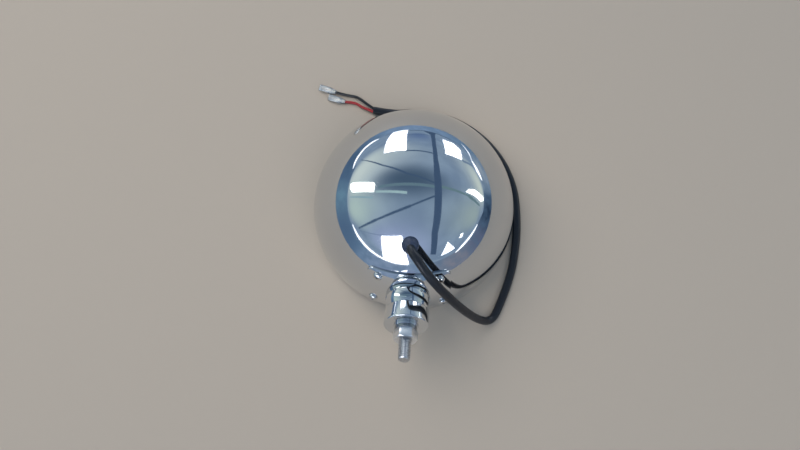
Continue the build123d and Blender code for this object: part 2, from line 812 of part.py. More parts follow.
# Tie round the cable behind the grommet, which keeps it from being pulled out
tie_distance = bowl_inner_radius - grommet_inner_thickness - tie_width
with BuildPart() as cable_tie:
    with BuildSketch(grommet_plane.offset(tie_distance)):
        Circle(tie_outer_radius)
        with Locations((0, tie_outer_radius)):
            Rectangle(tie_width, tie_width)
        Circle(cable_radius + grommet_bore_clearance, mode=Mode.SUBTRACT)
    extrude(amount=tie_width)


def bend_radii(points):
    """For each corner, 0.45 of its shorter run over the tangent of half its turn."""
    radii = []
    for before, corner, after in zip(points, points[1:], points[2:]):
        run_in = Vector(corner) - Vector(before)
        run_out = Vector(after) - Vector(corner)
        half_turn = radians(run_in.get_angle(run_out)) / 2
        radii.append(0.45 * min(run_in.length, run_out.length) / tan(half_turn))
    return radii


def tube(name, points, radius):
    """A round cord along straight runs joined by tangent arcs."""
    radii = bend_radii(points)
    with BuildPart() as cord:
        with BuildLine() as route:
            FilletPolyline(points, radius=radii)
        path = route.wires()[0]
        with BuildSketch(Plane(origin=path @ 0, z_dir=path % 0)):
            Circle(radius)
        sweep(path=path)
    share = cord.part.volume / (pi * radius**2 * path.length)
    print(name, "length", round(path.length, 1), "radii", [round(r, 1) for r in radii])
    print(name, "volume as a share of section times length", round(share, 4))
    return cord


# Cable: a short straight stub inside, then the free cable down to the resting face and round the ring
with BuildPart() as cable_stub:
    with BuildSketch(grommet_plane.offset(cable_inner_end)):
        Circle(cable_radius)
    extrude(amount=cable_exit - cable_inner_end)

cable_start = tuple(dome_centre + grommet_direction * cable_exit)
cable_rise = tuple(dome_centre + grommet_direction * (cable_exit + cable_rise_length))
cable_points = [
    cable_start,
    cable_rise,
    (3.6, -56.1, 97.6),
    (9.2, -62.2, 91.8),
    (16.4, -68.0, 82.8),
    (24.8, -74.5, 71.3),
    (34.2, -81.2, 55.9),
    (44.9, -88.0, 37.0),
    (54.0, -92.6, 23.0),
    (62.2, -95.9, 13.0),
    (70.1, -97.5, 5.6),
    (76.6, -92.8, 3.6),
    (79.2, -83.0, 3.6),
    (83.2, -68.5, 3.6),
    (88.6, -46.5, 3.6),
    (96.2, -7.0, 3.6),
    (90.7, 33.0, 3.6),
    (68.2, 68.2, 3.6),
    (33.0, 90.7, 3.6),
    (-5.0, 95.6, 3.6),
    (-24.0, 92.4, 3.6),
    (-43.2, 95.5, 3.6),
]
cable_end = Vector(cable_points[-1])
cable_heading = (cable_end - Vector(cable_points[-2])).normalized()
core_side = Vector(-cable_heading.Y, cable_heading.X, 0)
red_start = cable_end + core_side * wire_offset
black_start = cable_end - core_side * wire_offset
wire_red_points = [
    tuple(red_start),
    tuple(red_start + cable_heading * wire_lead_out),
    (-55.0, 97.9, 2.4),
    (-60.0, 101.2, 1.6),
    (-65.0, 102.0, 1.7),
    (-70.6, 102.9, 2.1),
    (-76.4, 104.3, 2.1),
]
wire_black_points = [
    tuple(black_start),
    tuple(black_start + cable_heading * wire_lead_out),
    (-54.2, 101.6, 3.0),
    (-59.2, 106.8, 1.9),
    (-65.6, 109.6, 1.6),
    (-73.0, 110.4, 1.8),
    (-80.2, 112.1, 2.1),
    (-86.0, 113.6, 2.1),
]
cable_sheath = tube("cable_sheath", cable_points, cable_radius)
wire_red = tube("wire_red", wire_red_points, wire_radius)
wire_black = tube("wire_black", wire_black_points, wire_radius)


def terminal_plane(points):
    """Upright plane across the wire, at the start of its last run and on the resting face."""
    run = Vector(points[-1]) - Vector(points[-2])
    foot = Vector(points[-2][0], points[-2][1], 0)
    along = Vector(run.X, run.Y, 0).normalized()
    return Plane(origin=foot, x_dir=(-along.Y, along.X, 0), z_dir=along)


def terminal(points):
    """Crimped blade receptacle: a barrel round the wire, then a rolled channel."""
    plane = terminal_plane(points)
    height = points[-1][2]
    with BuildPart() as metal:
        with BuildSketch(plane.offset(terminal_start)):
            with Locations((0, height)):
                Circle(terminal_barrel_radius)
        extrude(amount=terminal_barrel_length)
        with BuildSketch(plane.offset(terminal_start + terminal_barrel_length)):
            with Locations((0, height)):
                RectangleRounded(terminal_width, terminal_height, terminal_height / 3)
                slit = terminal_height - 2 * terminal_wall
                RectangleRounded(terminal_width - 2 * terminal_wall, slit, slit / 3, mode=Mode.SUBTRACT)
        extrude(amount=terminal_length - terminal_barrel_length)
        with BuildSketch(plane.offset(terminal_start)):
            with Locations((0, height)):
                Circle(wire_radius + terminal_bore_clearance)
        extrude(amount=terminal_barrel_length, mode=Mode.SUBTRACT)
    return metal


def sleeve(points):
    """Clear sleeve over a terminal, round at the wire and flat over the channel."""
    plane = terminal_plane(points)
    height = points[-1][2]
    with BuildPart() as cover:
        for inset, mode in ((0, Mode.ADD), (sleeve_wall, Mode.SUBTRACT)):
            wide, high = sleeve_width - 2 * inset, sleeve_height - 2 * inset
            with BuildSketch(plane):
                with Locations((0, height)):
                    Circle(sleeve_throat_radius - inset)
            with BuildSketch(plane.offset(sleeve_throat_length)):
                with Locations((0, height)):
                    RectangleRounded(wide, high, high / 3)
            loft(mode=mode)
            with BuildSketch(plane.offset(sleeve_throat_length)):
                with Locations((0, height)):
                    RectangleRounded(wide, high, high / 3)
            extrude(amount=sleeve_length - sleeve_throat_length, mode=mode)
    return cover


terminal_red = terminal(wire_red_points)
terminal_black = terminal(wire_black_points)
sleeve_red = sleeve(wire_red_points)
sleeve_black = sleeve(wire_black_points)

# Inner leads, from the end of the jacket to the connector and to the earth tab
stub_end = dome_centre + grommet_direction * cable_inner_end
connector_face = -connector_offset - connector_depth / 2
tab_face = -earth_tab_centre - earth_tab_foot / 2
tab_top = holder_top + blade_thickness + blade_length
tab_middle = tab_top - blade_length / 2
lead_red_height = tab_top + lead_tab_clearance + wire_radius
lead_bend = stub_end - grommet_direction * lead_run
lead_red_points = [
    (wire_offset, stub_end.Y, stub_end.Z),
    (wire_offset, lead_bend.Y, lead_bend.Z),
    (wire_offset, stub_end.Y + lead_red_reach, stub_end.Z - lead_drop),
    (wire_offset, connector_face - lead_red_entry, lead_red_height),
    (wire_offset, connector_face, lead_red_height),
]
lead_black_points = [
    (-wire_offset, stub_end.Y, stub_end.Z),
    (-wire_offset, lead_bend.Y, lead_bend.Z),
    (-wire_offset, stub_end.Y + lead_black_reach, stub_end.Z - lead_drop),
    (-wire_offset, tab_face - lead_black_entry, tab_middle),
    (-wire_offset, tab_face, tab_middle),
]
lead_red = tube("lead_red", lead_red_points, wire_radius)
lead_black = tube("lead_black", lead_black_points, wire_radius)

pieces = {
    "bowl_shell": bowl_shell,
    "bezel_ring": bezel_ring,
    "bezel_screws": bezel_screws,
    "bezel_nuts": bezel_nuts,
    "lens_gasket": lens_gasket,
    "lens_glass": lens_glass,
    "reflector": reflector,
    "bulb_holder": bulb_holder,
    "bulb_base": bulb_base,
    "bulb_capsule": bulb_capsule,
    "bulb_filament": bulb_filament,
    "bulb_spring_clip": bulb_spring_clip,
    "feed_connector": feed_connector,
    "earth_tab": earth_tab,
    "lead_red": lead_red,
    "lead_black": lead_black,
    "saddle_plate": saddle_plate,
    "saddle_gasket": saddle_gasket,
    "backing_plate": backing_plate,
    "saddle_screws": saddle_screws,
    "saddle_nuts": saddle_nuts,
    "swivel_boss": swivel_boss,
    "clamp_dish": clamp_dish,
    "disc_spring": disc_spring,
    "mount_stud": mount_stud,
    "base_cup": base_cup,
    "flat_washer": flat_washer,
    "spring_washer": spring_washer,
    "hex_nut": hex_nut,
    "cable_grommet": cable_grommet,
    "cable_tie": cable_tie,
    "cable_stub": cable_stub,
    "cable_sheath": cable_sheath,
    "wire_red": wire_red,
    "wire_black": wire_black,
    "terminal_red": terminal_red,
    "terminal_black": terminal_black,
    "sleeve_red": sleeve_red,
    "sleeve_black": sleeve_black,
}
for name, piece in pieces.items():
    piece.part.label = name
    export_step(piece.part, f"parts/{name}.step")
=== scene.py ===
import json
from math import acos, asin, cos, degrees, pi, radians, sin, sqrt, tan

import bpy
from mathutils import Matrix, Vector

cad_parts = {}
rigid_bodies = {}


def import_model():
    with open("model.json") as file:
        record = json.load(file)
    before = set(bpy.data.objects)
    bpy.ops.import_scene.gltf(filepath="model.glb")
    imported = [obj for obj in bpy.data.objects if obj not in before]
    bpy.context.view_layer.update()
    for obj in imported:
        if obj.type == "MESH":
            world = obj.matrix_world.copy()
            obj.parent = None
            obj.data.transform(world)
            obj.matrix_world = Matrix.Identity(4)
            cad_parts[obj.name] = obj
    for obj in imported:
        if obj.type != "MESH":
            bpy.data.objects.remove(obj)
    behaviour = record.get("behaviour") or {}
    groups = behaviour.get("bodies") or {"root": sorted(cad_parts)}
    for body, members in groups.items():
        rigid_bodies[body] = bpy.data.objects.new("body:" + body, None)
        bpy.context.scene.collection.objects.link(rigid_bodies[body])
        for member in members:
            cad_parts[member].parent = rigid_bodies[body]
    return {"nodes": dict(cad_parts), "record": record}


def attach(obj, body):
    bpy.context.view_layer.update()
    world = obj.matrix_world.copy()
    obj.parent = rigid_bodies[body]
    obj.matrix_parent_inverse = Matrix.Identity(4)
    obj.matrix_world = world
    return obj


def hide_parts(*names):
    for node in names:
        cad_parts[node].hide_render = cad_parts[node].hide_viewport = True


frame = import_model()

# A polished stainless spotlight on a ball swivel, lying lens down and seen from behind.
# The bowl turns about Z. Its post, with ball, cup and stud, leans out towards -Y.
mm = 0.001
bowlCentre = Vector((0, 0, 10))  # of its round wall, in millimetres
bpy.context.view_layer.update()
scene = bpy.context.scene
scene.view_settings.view_transform = "Standard"
bpy.ops.object.select_all(action="DESELECT")
print("frame loaded:", len(frame["nodes"]), "nodes")

# Where the photo was taken from
photoCamera = {
    "lens": 29.655,
    "sensor": 36,
    "nearest": 0.01,
    "place": (6.96 * mm, -124.55 * mm, 596.89 * mm),
    "turn": (10.681, 1.151, 3.431),  # degrees about X, Y and Z
}


def makeCamera():
    turn = [radians(angle) for angle in photoCamera["turn"]]
    bpy.ops.object.camera_add(location=photoCamera["place"], rotation=turn)
    camera = bpy.context.object
    camera.name = "photoCamera"
    camera.data.lens = photoCamera["lens"]
    camera.data.sensor_width = photoCamera["sensor"]
    camera.data.clip_start = photoCamera["nearest"]
    scene.camera = camera


makeCamera()
print("camera set")


# Small helpers for materials
def linear(hexColour):
    channels = [int(hexColour[i:i + 2], 16) / 255 for i in (0, 2, 4)]
    return [c / 12.92 if c <= 0.04045 else ((c + 0.055) / 1.055) ** 2.4 for c in channels] + [1]


def addNode(tree, kind, settings=None, inputs=None):
    node = tree.nodes.new(kind)
    for name, value in (settings or {}).items():
        setattr(node, name, value)
    for name, value in (inputs or {}).items():
        if isinstance(value, bpy.types.NodeSocket):
            tree.links.new(value, node.inputs[name])
        else:
            node.inputs[name].default_value = value
    return node


# the colours of a mix node are its inputs 6 and 7 and its output 2
mixColours = {"data_type": "RGBA"}
noiseRange = (0.3, 0.7)  # most values of a noise pattern lie between these
buffedRange = (0.15, 0.4)  # and most products of two patterns between these
noiseGrain = 0.55


def makeFinish(name, shaderInputs, toneGrain=noiseGrain, **patterns):
    # each pattern is noise: its size in millimetres, its detail, and then the two ends of what it gives
    material = bpy.data.materials.new(name)
    material.use_nodes = True
    tree = material.node_tree
    shader = tree.nodes["Principled BSDF"]
    for socket, value in shaderInputs.items():
        shader.inputs[socket].default_value = value
    place = addNode(tree, "ShaderNodeTexCoord").outputs["Object"]
    noises = {}
    for part, (size, detail, *_) in patterns.items():
        grain = toneGrain if part == "tone" else noiseGrain
        inputs = {"Vector": place, "Scale": 1 / (size * mm), "Detail": detail, "Roughness": grain}
        noises[part] = addNode(tree, "ShaderNodeTexNoise", None, inputs).outputs["Fac"]
    if "tone" in patterns:
        dark, light = patterns["tone"][2:]
        inputs = {0: noises["tone"], 6: linear(dark), 7: linear(light)}
        tone = addNode(tree, "ShaderNodeMix", mixColours, inputs).outputs[2]
        tree.links.new(tone, shader.inputs["Base Color"])
    if "gloss" in patterns:
        gloss, (fromLow, fromHigh) = noises["gloss"], noiseRange
        if "buffing" in patterns:
            inputs = {0: gloss, 1: noises["buffing"]}
            gloss = addNode(tree, "ShaderNodeMath", {"operation": "MULTIPLY"}, inputs).outputs[0]
            fromLow, fromHigh = buffedRange
        low, high = patterns["gloss"][2:]
        inputs = {"Value": gloss, "From Min": fromLow, "From Max": fromHigh, "To Min": low, "To Max": high}
        roughness = addNode(tree, "ShaderNodeMapRange", None, inputs).outputs["Result"]
        tree.links.new(roughness, shader.inputs["Roughness"])
    if "dents" in patterns:
        depth, strength = patterns["dents"][2:]
        inputs = {"Height": noises["dents"], "Distance": depth * mm, "Strength": strength}
        normal = addNode(tree, "ShaderNodeBump", None, inputs).outputs["Normal"]
        tree.links.new(normal, shader.inputs["Normal"])
    return material


metal = {"Metallic": 1}
finishes = {
    # stainless sheet, drawn and buffed to a mirror: clear reflections with a faint haze and buffing lines; its cool
    # blue tint is a painted reflection colour, which makes the mirrored warm floor bluer
    "polished_stainless": makeFinish(
        "mirrorPolishedStainless", metal, tone=(45, 4, "cfd3d8", "dadee2"), gloss=(45, 4, 0.03, 0.075),
        buffing=(1.2, 2), dents=(60, 2, 0.02, 0.25),
    ),
    # stainless bar, turned and polished: tool marks round the axis still soften the mirror a little
    "turned_stainless": makeFinish(
        "turnedStainless", metal, tone=(9, 3, "ccd0d5", "dce0e4"), gloss=(0.8, 3, 0.05, 0.11),
    ),
    # machined stainless hexagon: cut flats left satin, so they pick up the light around them
    "satin_stainless": makeFinish(
        "satinStainless", metal, tone=(4, 3, "dddfe3", "eef0f2"), gloss=(0.5, 3, 0.26, 0.34),
    ),
    # cold-formed stainless fasteners: tumbled, so bright with softer edges and small dents
    "stainless_steel": makeFinish(
        "tumbledStainless", metal, tone=(3, 4, "bfc2c6", "d9dbde"), gloss=(0.7, 3, 0.1, 0.24),
        dents=(0.9, 2, 0.01, 0.5),
    ),
    # rolled stainless thread: grey and satin, with oil and dust in its grooves
    "thread_steel": makeFinish(
        "rolledThread", metal, toneGrain=0.65, tone=(2.2, 5, "a5a7aa", "dcdde0"),
        gloss=(0.6, 3, 0.2, 0.36), dents=(0.35, 3, 0.02, 0.5),
    ),
    # tempered spring steel: darker than stainless, satin
    "spring_steel": makeFinish(
        "temperedSpring", metal, tone=(2.5, 3, "8a8c90", "b4b6b8"), gloss=(0.5, 3, 0.16, 0.3),
    ),
    # aluminium deposited in vacuum on a spun bowl: a near perfect mirror
    "reflector_mirror": makeFinish(
        "aluminisedMirror", {"Metallic": 1, "Base Color": linear("ecedee")}, gloss=(12, 3, 0.02, 0.06),
    ),
    # clear glass, pressed and fire polished
    "lens_glass": makeFinish(
        "pressedGlass", {"Base Color": linear("e9f1f1"), "Transmission Weight": 1, "IOR": 1.5},
        gloss=(8, 3, 0, 0.03),
    ),
    # drawn quartz tube, clearer than the lens
    "quartz": makeFinish(
        "quartzTube", {"Base Color": linear("f4f4f6"), "Transmission Weight": 1, "IOR": 1.5},
        gloss=(8, 3, 0, 0.02),
    ),
    # wound tungsten wire: dull grey coil
    "tungsten": makeFinish("tungstenCoil", {"Metallic": 1, "Roughness": 0.4}, tone=(0.5, 2, "5c5d60", "86878a")),
    # nickel plate on brass: warm, bright, slightly satin
    "nickel_plate": makeFinish("nickelPlate", metal, tone=(3, 3, "b8b2a8", "cbc6bd"), gloss=(0.9, 3, 0.12, 0.24)),
    # moulded rubber: matt and dark, with a fine mould texture and a little dust; its blue tint is a painted sheen,
    # the sky's reflection painted into its colour
    "black_rubber": makeFinish(
        "mouldedRubber", {}, toneGrain=0.6, tone=(4, 5, "1a2438", "2c3f60"),
        gloss=(1.5, 3, 0.42, 0.6), dents=(0.4, 3, 0.03, 0.5),
    ),
    # extruded cable jacket: soft PVC, satin black, with faint handling marks along it; its slight blue tint is
    # painted light, the blue ambient light painted into its colour
    "cable_jacket": makeFinish(
        "extrudedJacket", {"Specular IOR Level": 0.4}, toneGrain=0.6, tone=(6, 4, "10151d", "1b222d"),
        gloss=(2, 4, 0.3, 0.46), dents=(0.7, 3, 0.03, 0.35),
    ),
    # brass strip with a tin plate, stamped: pale grey metal with rub marks
    "tinned_brass": makeFinish("tinnedBrass", metal, tone=(1.4, 4, "b5b0a6", "cfccc6"), gloss=(0.6, 3, 0.18, 0.34)),
    # clear soft PVC cover: bluish, glossy outside, a little cloudy
    "clear_sleeve": makeFinish(
        "clearVinyl", {"Transmission Weight": 0.86, "IOR": 1.5}, tone=(2.5, 3, "dfe9f2", "f4f8fb"),
        gloss=(1.2, 3, 0.08, 0.22),
    ),
}
# extruded core insulation: glossier PVC in one colour each
for name, dark, light in [("red", "8e1a1e", "b3282b"), ("black", "16181b", "24272b")]:
    finishes[f"{name}_insulation"] = makeFinish(
        f"{name}Insulation", {}, tone=(3, 3, dark, light), gloss=(1.2, 3, 0.22, 0.36), dents=(0.5, 2, 0.02, 0.3),
    )
# moulded nylon, black or natural white: matt, slightly mottled
for slotName, name, dark, light in [
        ("nylon_black", "blackNylon", "1c1d1f", "2a2b2d"), ("nylon_white", "naturalNylon", "cfccc0", "dedbd0"),
]:
    finishes[slotName] = makeFinish(
        name, {}, tone=(2.5, 4, dark, light), gloss=(1, 3, 0.4, 0.55), dents=(0.3, 2, 0.02, 0.4),
    )
slotOf = {entry["node"]: entry["material_slot"] for entry in frame["record"]["subparts"]}
for nodeName, node in frame["nodes"].items():
    node.data.materials.clear()
    node.data.materials.append(finishes[slotOf[nodeName]])
print("materials made:", len(finishes))

# The cable's route, in millimetres: out of the grommet, down to the floor, and round the bowl
cable = {
    "radius": 3.6,
    "wireRadius": 1.3,
    "resolution": 24,
    "bevelSteps": 8,
    "grommetElevation": 60.2,
    "exit": 90,  # from the bowl's centre
    "lean": (0.496, -0.753, -0.431),  # the way that the cable pulls the grommet over
    "points": [
        (0.1, -47.0, 92.1), (1.6, -51.3, 96.3), (6.4, -57.6, 97.8), (12.6, -65.4, 93.6), (21.5, -74.2, 84.4),
        (32.0, -81.8, 69.5), (42.8, -88.3, 51.5), (53.2, -93.0, 33.0), (62.4, -96.0, 17.5), (70.6, -96.6, 7.6),
        (77.0, -92.2, 3.8), (82.0, -80.0, 3.6), (88.0, -62.5, 3.6), (93.0, -42.0, 3.6), (95.6, -7.0, 3.6),
        (90.7, 33.0, 3.6), (68.2, 68.2, 3.6), (33.0, 90.7, 3.6), (-5.0, 95.6, 3.6), (-24.0, 92.4, 3.6),
        (-43.2, 95.5, 3.6),
    ],
    "redPoints": [
        (-43.45, 93.97, 3.6), (-49.0, 96.4, 3.4), (-54.6, 98.6, 2.3), (-59.8, 102.0, 1.7),
        (-65.0, 103.0, 1.8), (-70.6, 102.9, 2.1), (-76.4, 104.3, 2.1),
    ],
    "blackPoints": [
        (-42.95, 97.03, 3.6), (-49.2, 100.6, 4.2), (-55.2, 105.4, 3.3), (-60.6, 108.8, 2.1),
        (-66.6, 109.6, 1.6), (-73.4, 110.6, 1.8), (-80.2, 112.1, 2.1), (-86.0, 113.6, 2.1),
    ],
    "jacketLength": 432.1,
    "redLength": 35.1,
    "blackLength": 47.3,
}


def makeCord(name, points, radius, finish):
    bpy.ops.object.select_all(action="DESELECT")
    curve = bpy.data.curves.new(name, "CURVE")
    curve.dimensions = "3D"
    curve.resolution_u = cable["resolution"]
    curve.bevel_depth = radius * mm
    curve.bevel_resolution = cable["bevelSteps"]
    curve.use_fill_caps = True
    spline = curve.splines.new("NURBS")
    spline.points.add(len(points) - 1)
    for point, place in zip(spline.points, points):
        point.co = [value * mm for value in place] + [1]
    spline.order_u = 3
    spline.use_endpoint_u = True
    cord = bpy.data.objects.new(name, curve)
    scene.collection.objects.link(cord)
    curve.materials.append(finish)
    return cord


grommetLean = radians(cable["grommetElevation"])
grommetWay = Vector((0, -cos(grommetLean), sin(grommetLean)))
cableStart = bowlCentre + grommetWay * cable["exit"]
cableLean = Vector(cable["lean"])
jacket = makeCord("cableJacket", [cableStart] + cable["points"], cable["radius"], finishes["cable_jacket"])
redWire = makeCord("redWire", cable["redPoints"], cable["wireRadius"], finishes["red_insulation"])
blackWire = makeCord("blackWire", cable["blackPoints"], cable["wireRadius"], finishes["black_insulation"])
print("cords laid")


# Small helpers for modelling
def onlySelect(piece):
    bpy.ops.object.select_all(action="DESELECT")
    bpy.context.view_layer.objects.active = piece
    piece.select_set(True)


def placeAlong(piece, distance, elevation):
    # turns a piece made about Z to the line that leaves the bowl's centre at this elevation
    lean = radians(elevation)
    piece.rotation_euler = (pi / 2 - lean, 0, 0)
    piece.location = (bowlCentre + Vector((0, -cos(lean), sin(lean))) * distance) * mm
    applyPlace(piece)


def applyPlace(piece):
    onlySelect(piece)
    bpy.ops.object.transform_apply(location=True, rotation=True, scale=True)
    piece.select_set(False)


def arc(centre, radius, startAngle, endAngle, steps):
    # points of a round stretch of an outline; angles in degrees from the radial line
    points = []
    for i in range(steps + 1):
        angle = radians(startAngle + (endAngle - startAngle) * i / steps)
        points.append((centre[0] + radius * cos(angle), centre[1] + radius * sin(angle)))
    return points


nearAxis = 0.001  # a ring this small is merged into one point


def turnedPiece(name, outline, steps, finish):
    # a ring is extruded from corner to corner of the outline, as a lathe would cut it
    bpy.ops.object.select_all(action="DESELECT")
    radius, height = outline[0]
    radius = max(radius, nearAxis)
    bpy.ops.mesh.primitive_circle_add(vertices=steps, radius=radius * mm)
    piece = bpy.context.object
    piece.name = name
    bpy.ops.object.mode_set(mode="EDIT")
    bpy.ops.mesh.select_all(action="SELECT")
    bpy.ops.transform.translate(value=(0, 0, height * mm))
    for nextRadius, nextHeight in outline[1:]:
        nextRadius = max(nextRadius, nearAxis)
        scale = nextRadius / radius
        rise = (nextHeight - height) * mm
        bpy.ops.mesh.extrude_edges_move()
        bpy.ops.transform.resize(value=(scale, scale, 1), center_override=(0, 0, 0))
        bpy.ops.transform.translate(value=(0, 0, rise))
        radius, height = nextRadius, nextHeight
    bpy.ops.mesh.select_all(action="SELECT")
    bpy.ops.mesh.remove_doubles(threshold=4 * nearAxis * mm)
    bpy.ops.mesh.normals_make_consistent(inside=False)
    bpy.ops.object.mode_set(mode="OBJECT")
    piece.data.materials.append(finish)
    piece.select_set(False)
    return piece


def smoothByAngle(piece, angle=30):
    onlySelect(piece)
    bpy.ops.object.shade_smooth_by_angle(angle=radians(angle))
    piece.select_set(False)


def useModifier(piece, kind, **settings):
    onlySelect(piece)
    modifier = piece.modifiers.new(kind.lower(), kind)
    for name, value in settings.items():
        setattr(modifier, name, value)
    bpy.ops.object.modifier_apply(modifier=modifier.name)
    piece.select_set(False)


def bevelEdges(piece, values):
    # edges sharper than the piece's edge angle, in degrees
    useModifier(
        piece, "BEVEL", width=values["edge"] * mm, segments=values["edgeSteps"], limit_method="ANGLE",
        angle_limit=radians(values["edgeAngle"]),
    )


def cutWith(piece, tool, operation="DIFFERENCE"):
    useModifier(piece, "BOOLEAN", object=tool, operation=operation, solver="EXACT")
    bpy.data.objects.remove(tool)


def copyOf(piece, name):
    twin = piece.copy()
    twin.data = piece.data.copy()
    twin.name = name
    scene.collection.objects.link(twin)
    return twin


def ready(piece, body, slotName, *nodes):
    if piece.type == "MESH":
        piece.data.validate()
    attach(piece, body)
    if nodes:
        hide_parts(*nodes)


# Bowl and front ring, in millimetres about the lamp's axis
bowl = {
    "radius": 90,
    "wall": 1.2,
    "seam": 14,
    "gap": 0.3,
    "skirtInset": 1.5,
    "skirtFoot": 8.4,
    "steps": 256,
    "outerSteps": 72,
    "innerSteps": 40,
}
ring = {"wall": 1.2, "lip": 8, "edge": 2, "outerSteps": 10, "riseSteps": 4, "innerSteps": 6}
post = {"elevation": 26.5, "ballCentre": 94, "steps": 128, "opening": 15, "openingSteps": 64}


def fitOnPost(piece, angle, body, slotName, node):
    smoothByAngle(piece, angle)
    placeAlong(piece, post["ballCentre"], post["elevation"])
    ready(piece, body, slotName, node)


def makeBowl():
    centre = (0, bowlCentre.z)
    wall, outer = bowl["wall"], bowl["radius"]
    inner = outer - wall
    step = bowl["seam"] + bowl["gap"]
    stepHeight = step - bowlCentre.z
    outerStart = degrees(asin(stepHeight / outer))
    innerStart = degrees(asin((stepHeight + wall) / inner))
    skirt = outer - bowl["skirtInset"]
    outline = arc(centre, outer, 90, outerStart, bowl["outerSteps"])
    outline += [(skirt, step), (skirt, bowl["skirtFoot"])]
    outline += [(skirt - wall, bowl["skirtFoot"]), (skirt - wall, step + wall)]
    outline += arc(centre, inner, innerStart, 90, bowl["innerSteps"])
    piece = turnedPiece("bowl", outline, bowl["steps"], finishes["polished_stainless"])
    # the post's opening, under the saddle plate
    bpy.ops.mesh.primitive_cylinder_add(
        vertices=post["openingSteps"], radius=post["opening"] * mm, depth=outer / 2 * mm
    )
    drill = bpy.context.object
    placeAlong(drill, outer, post["elevation"])
    cutWith(piece, drill)
    smoothByAngle(piece)
    ready(piece, "lamp", "polished_stainless", "bowl_shell")


def makeFrontRing():
    centreHeight, outer = bowlCentre.z, bowl["radius"]
    wall, edge = ring["wall"], ring["edge"]
    rise = degrees(asin((bowl["seam"] - centreHeight) / outer))
    topOuter = outer * cos(radians(rise))
    outline = arc((outer - edge, edge), edge, -90, 0, ring["outerSteps"])
    outline += arc((0, centreHeight), outer, 0, rise, ring["riseSteps"])
    outline += [(topOuter - wall, bowl["seam"]), (outer - wall, centreHeight), (outer - wall, edge)]
    outline += arc((outer - edge, edge), edge - wall, 0, -90, ring["innerSteps"])
    outline += [(outer - ring["lip"], wall), (outer - ring["lip"], 0), (outer - edge, 0)]
    piece = turnedPiece("frontRing", outline, bowl["steps"], finishes["polished_stainless"])
    smoothByAngle(piece)
    ready(piece, "lamp", "polished_stainless", "bezel_ring")


makeBowl()
makeFrontRing()
print("bowl and ring made")

# Ball and cup, in millimetres along the post from the ball's centre
ball = {
    "radius": 18.5, "wall": 4, "slotWidth": 10.6, "slotAngle": 37.5, "footRadius": 18.2,
    "outerSteps": 48, "innerSteps": 24,
}
cup = {
    "radius": 18.25, "rim": 11.4, "end": 25.2, "seatClearance": 0.3, "rimRound": 1.0,
    "endRound": 1.0, "bore": 5.08, "boreChamfer": 0.4, "seatSteps": 24, "roundSteps": 8,
}


def makeBall():
    outer, inner = ball["radius"], ball["radius"] - ball["wall"]
    # both walls run a little into the plate below
    foot = sqrt(outer ** 2 - ball["footRadius"] ** 2)
    startAngle = -degrees(asin(foot / outer))
    outline = arc((0, 0), outer, startAngle, 90, ball["outerSteps"])
    outline += arc((0, 0), inner, 90, 0, ball["innerSteps"])
    outline += [(inner, -foot), outline[0]]
    piece = turnedPiece("swivelBall", outline, post["steps"], finishes["polished_stainless"])
    bpy.ops.mesh.primitive_cylinder_add(vertices=3, radius=1, depth=ball["slotWidth"] * mm)
    wedge = bpy.context.object
    reach = 2 * outer
    halfWidth = reach * tan(radians(ball["slotAngle"]))
    corners = [(0, 0), (halfWidth, reach), (-halfWidth, reach)]
    side = ball["slotWidth"] / 2
    for vertex in wedge.data.vertices:
        across, along = corners[(vertex.index // 2) % 3]
        level = side if vertex.co.z > 0 else -side
        vertex.co = Vector((level, across, along)) * mm
    bpy.ops.object.mode_set(mode="EDIT")
    bpy.ops.mesh.select_all(action="SELECT")
    bpy.ops.mesh.normals_make_consistent(inside=False)
    bpy.ops.object.mode_set(mode="OBJECT")
    cutWith(piece, wedge)
    fitOnPost(piece, 30, "lamp", "polished_stainless", "swivel_boss")


def makeCup():
    seat = ball["radius"] + cup["seatClearance"]
    rimAngle = degrees(asin(cup["rim"] / seat))
    boreAngle = degrees(acos(cup["bore"] / seat))
    turn = cup["rimRound"]
    outline = arc((0, 0), seat, boreAngle, rimAngle, cup["seatSteps"])
    outline += arc((cup["radius"] - turn, cup["rim"] + turn), turn, -90, 0, cup["roundSteps"])
    turn = cup["endRound"]
    outline += arc((cup["radius"] - turn, cup["end"] - turn), turn, 0, 90, cup["roundSteps"])
    chamfer = cup["boreChamfer"]
    outline += [(cup["bore"] + chamfer, cup["end"]), (cup["bore"], cup["end"] - chamfer), outline[0]]
    piece = turnedPiece("baseCup", outline, post["steps"], finishes["turned_stainless"])
    fitOnPost(piece, 30, "base", "polished_stainless", "base_cup")


makeBall()
makeCup()
print("ball and cup made")

# Washers, nut and stud, in millimetres along the post from the ball's centre
flatWasher = {"radius": 10, "bore": 5.25, "start": 25.2, "thickness": 2.0, "edge": 0.25}
springWasher = {"radius": 9.1, "bore": 5.25, "start": 27.2, "thickness": 2.5, "edge": 0.15, "gap": 1.6, "slant": 20}
washerSteps = 96
nut = {
    "width": 17, "start": 29.7, "height": 8.4, "chamfer": 30, "bore": 4.4, "mouth": 5.3, "edge": 0.12,
    "edgeSteps": 2, "edgeAngle": 25, "steps": 96, "boreSteps": 64, "past": 1, "spare": 0.2, "spareDrop": 0.12,
}
stud = {
    "radius": 5, "core": 4.1, "pitch": 1.5, "start": 3.4, "threadStart": 24.0, "end": 54.9,
    "headWidth": 16, "headHeight": 6.4, "tipChamfer": 1.0, "crest": 0.22, "turnSteps": 48,
    "runout": 0.8, "coreRound": (0.4, 0.1), "toothOverlap": 0.2, "toothShare": 0.44, "lead": 0.5,
    "spareTurns": 2, "spare": 1,
}


def washerOutline(values):
    inner, outer, edge = values["bore"], values["radius"], values["edge"]
    low, high = values["start"], values["start"] + values["thickness"]
    return [
        (inner, low + edge), (inner + edge, low), (outer - edge, low), (outer, low + edge),
        (outer, high - edge), (outer - edge, high), (inner + edge, high), (inner, high - edge),
        (inner, low + edge),
    ]


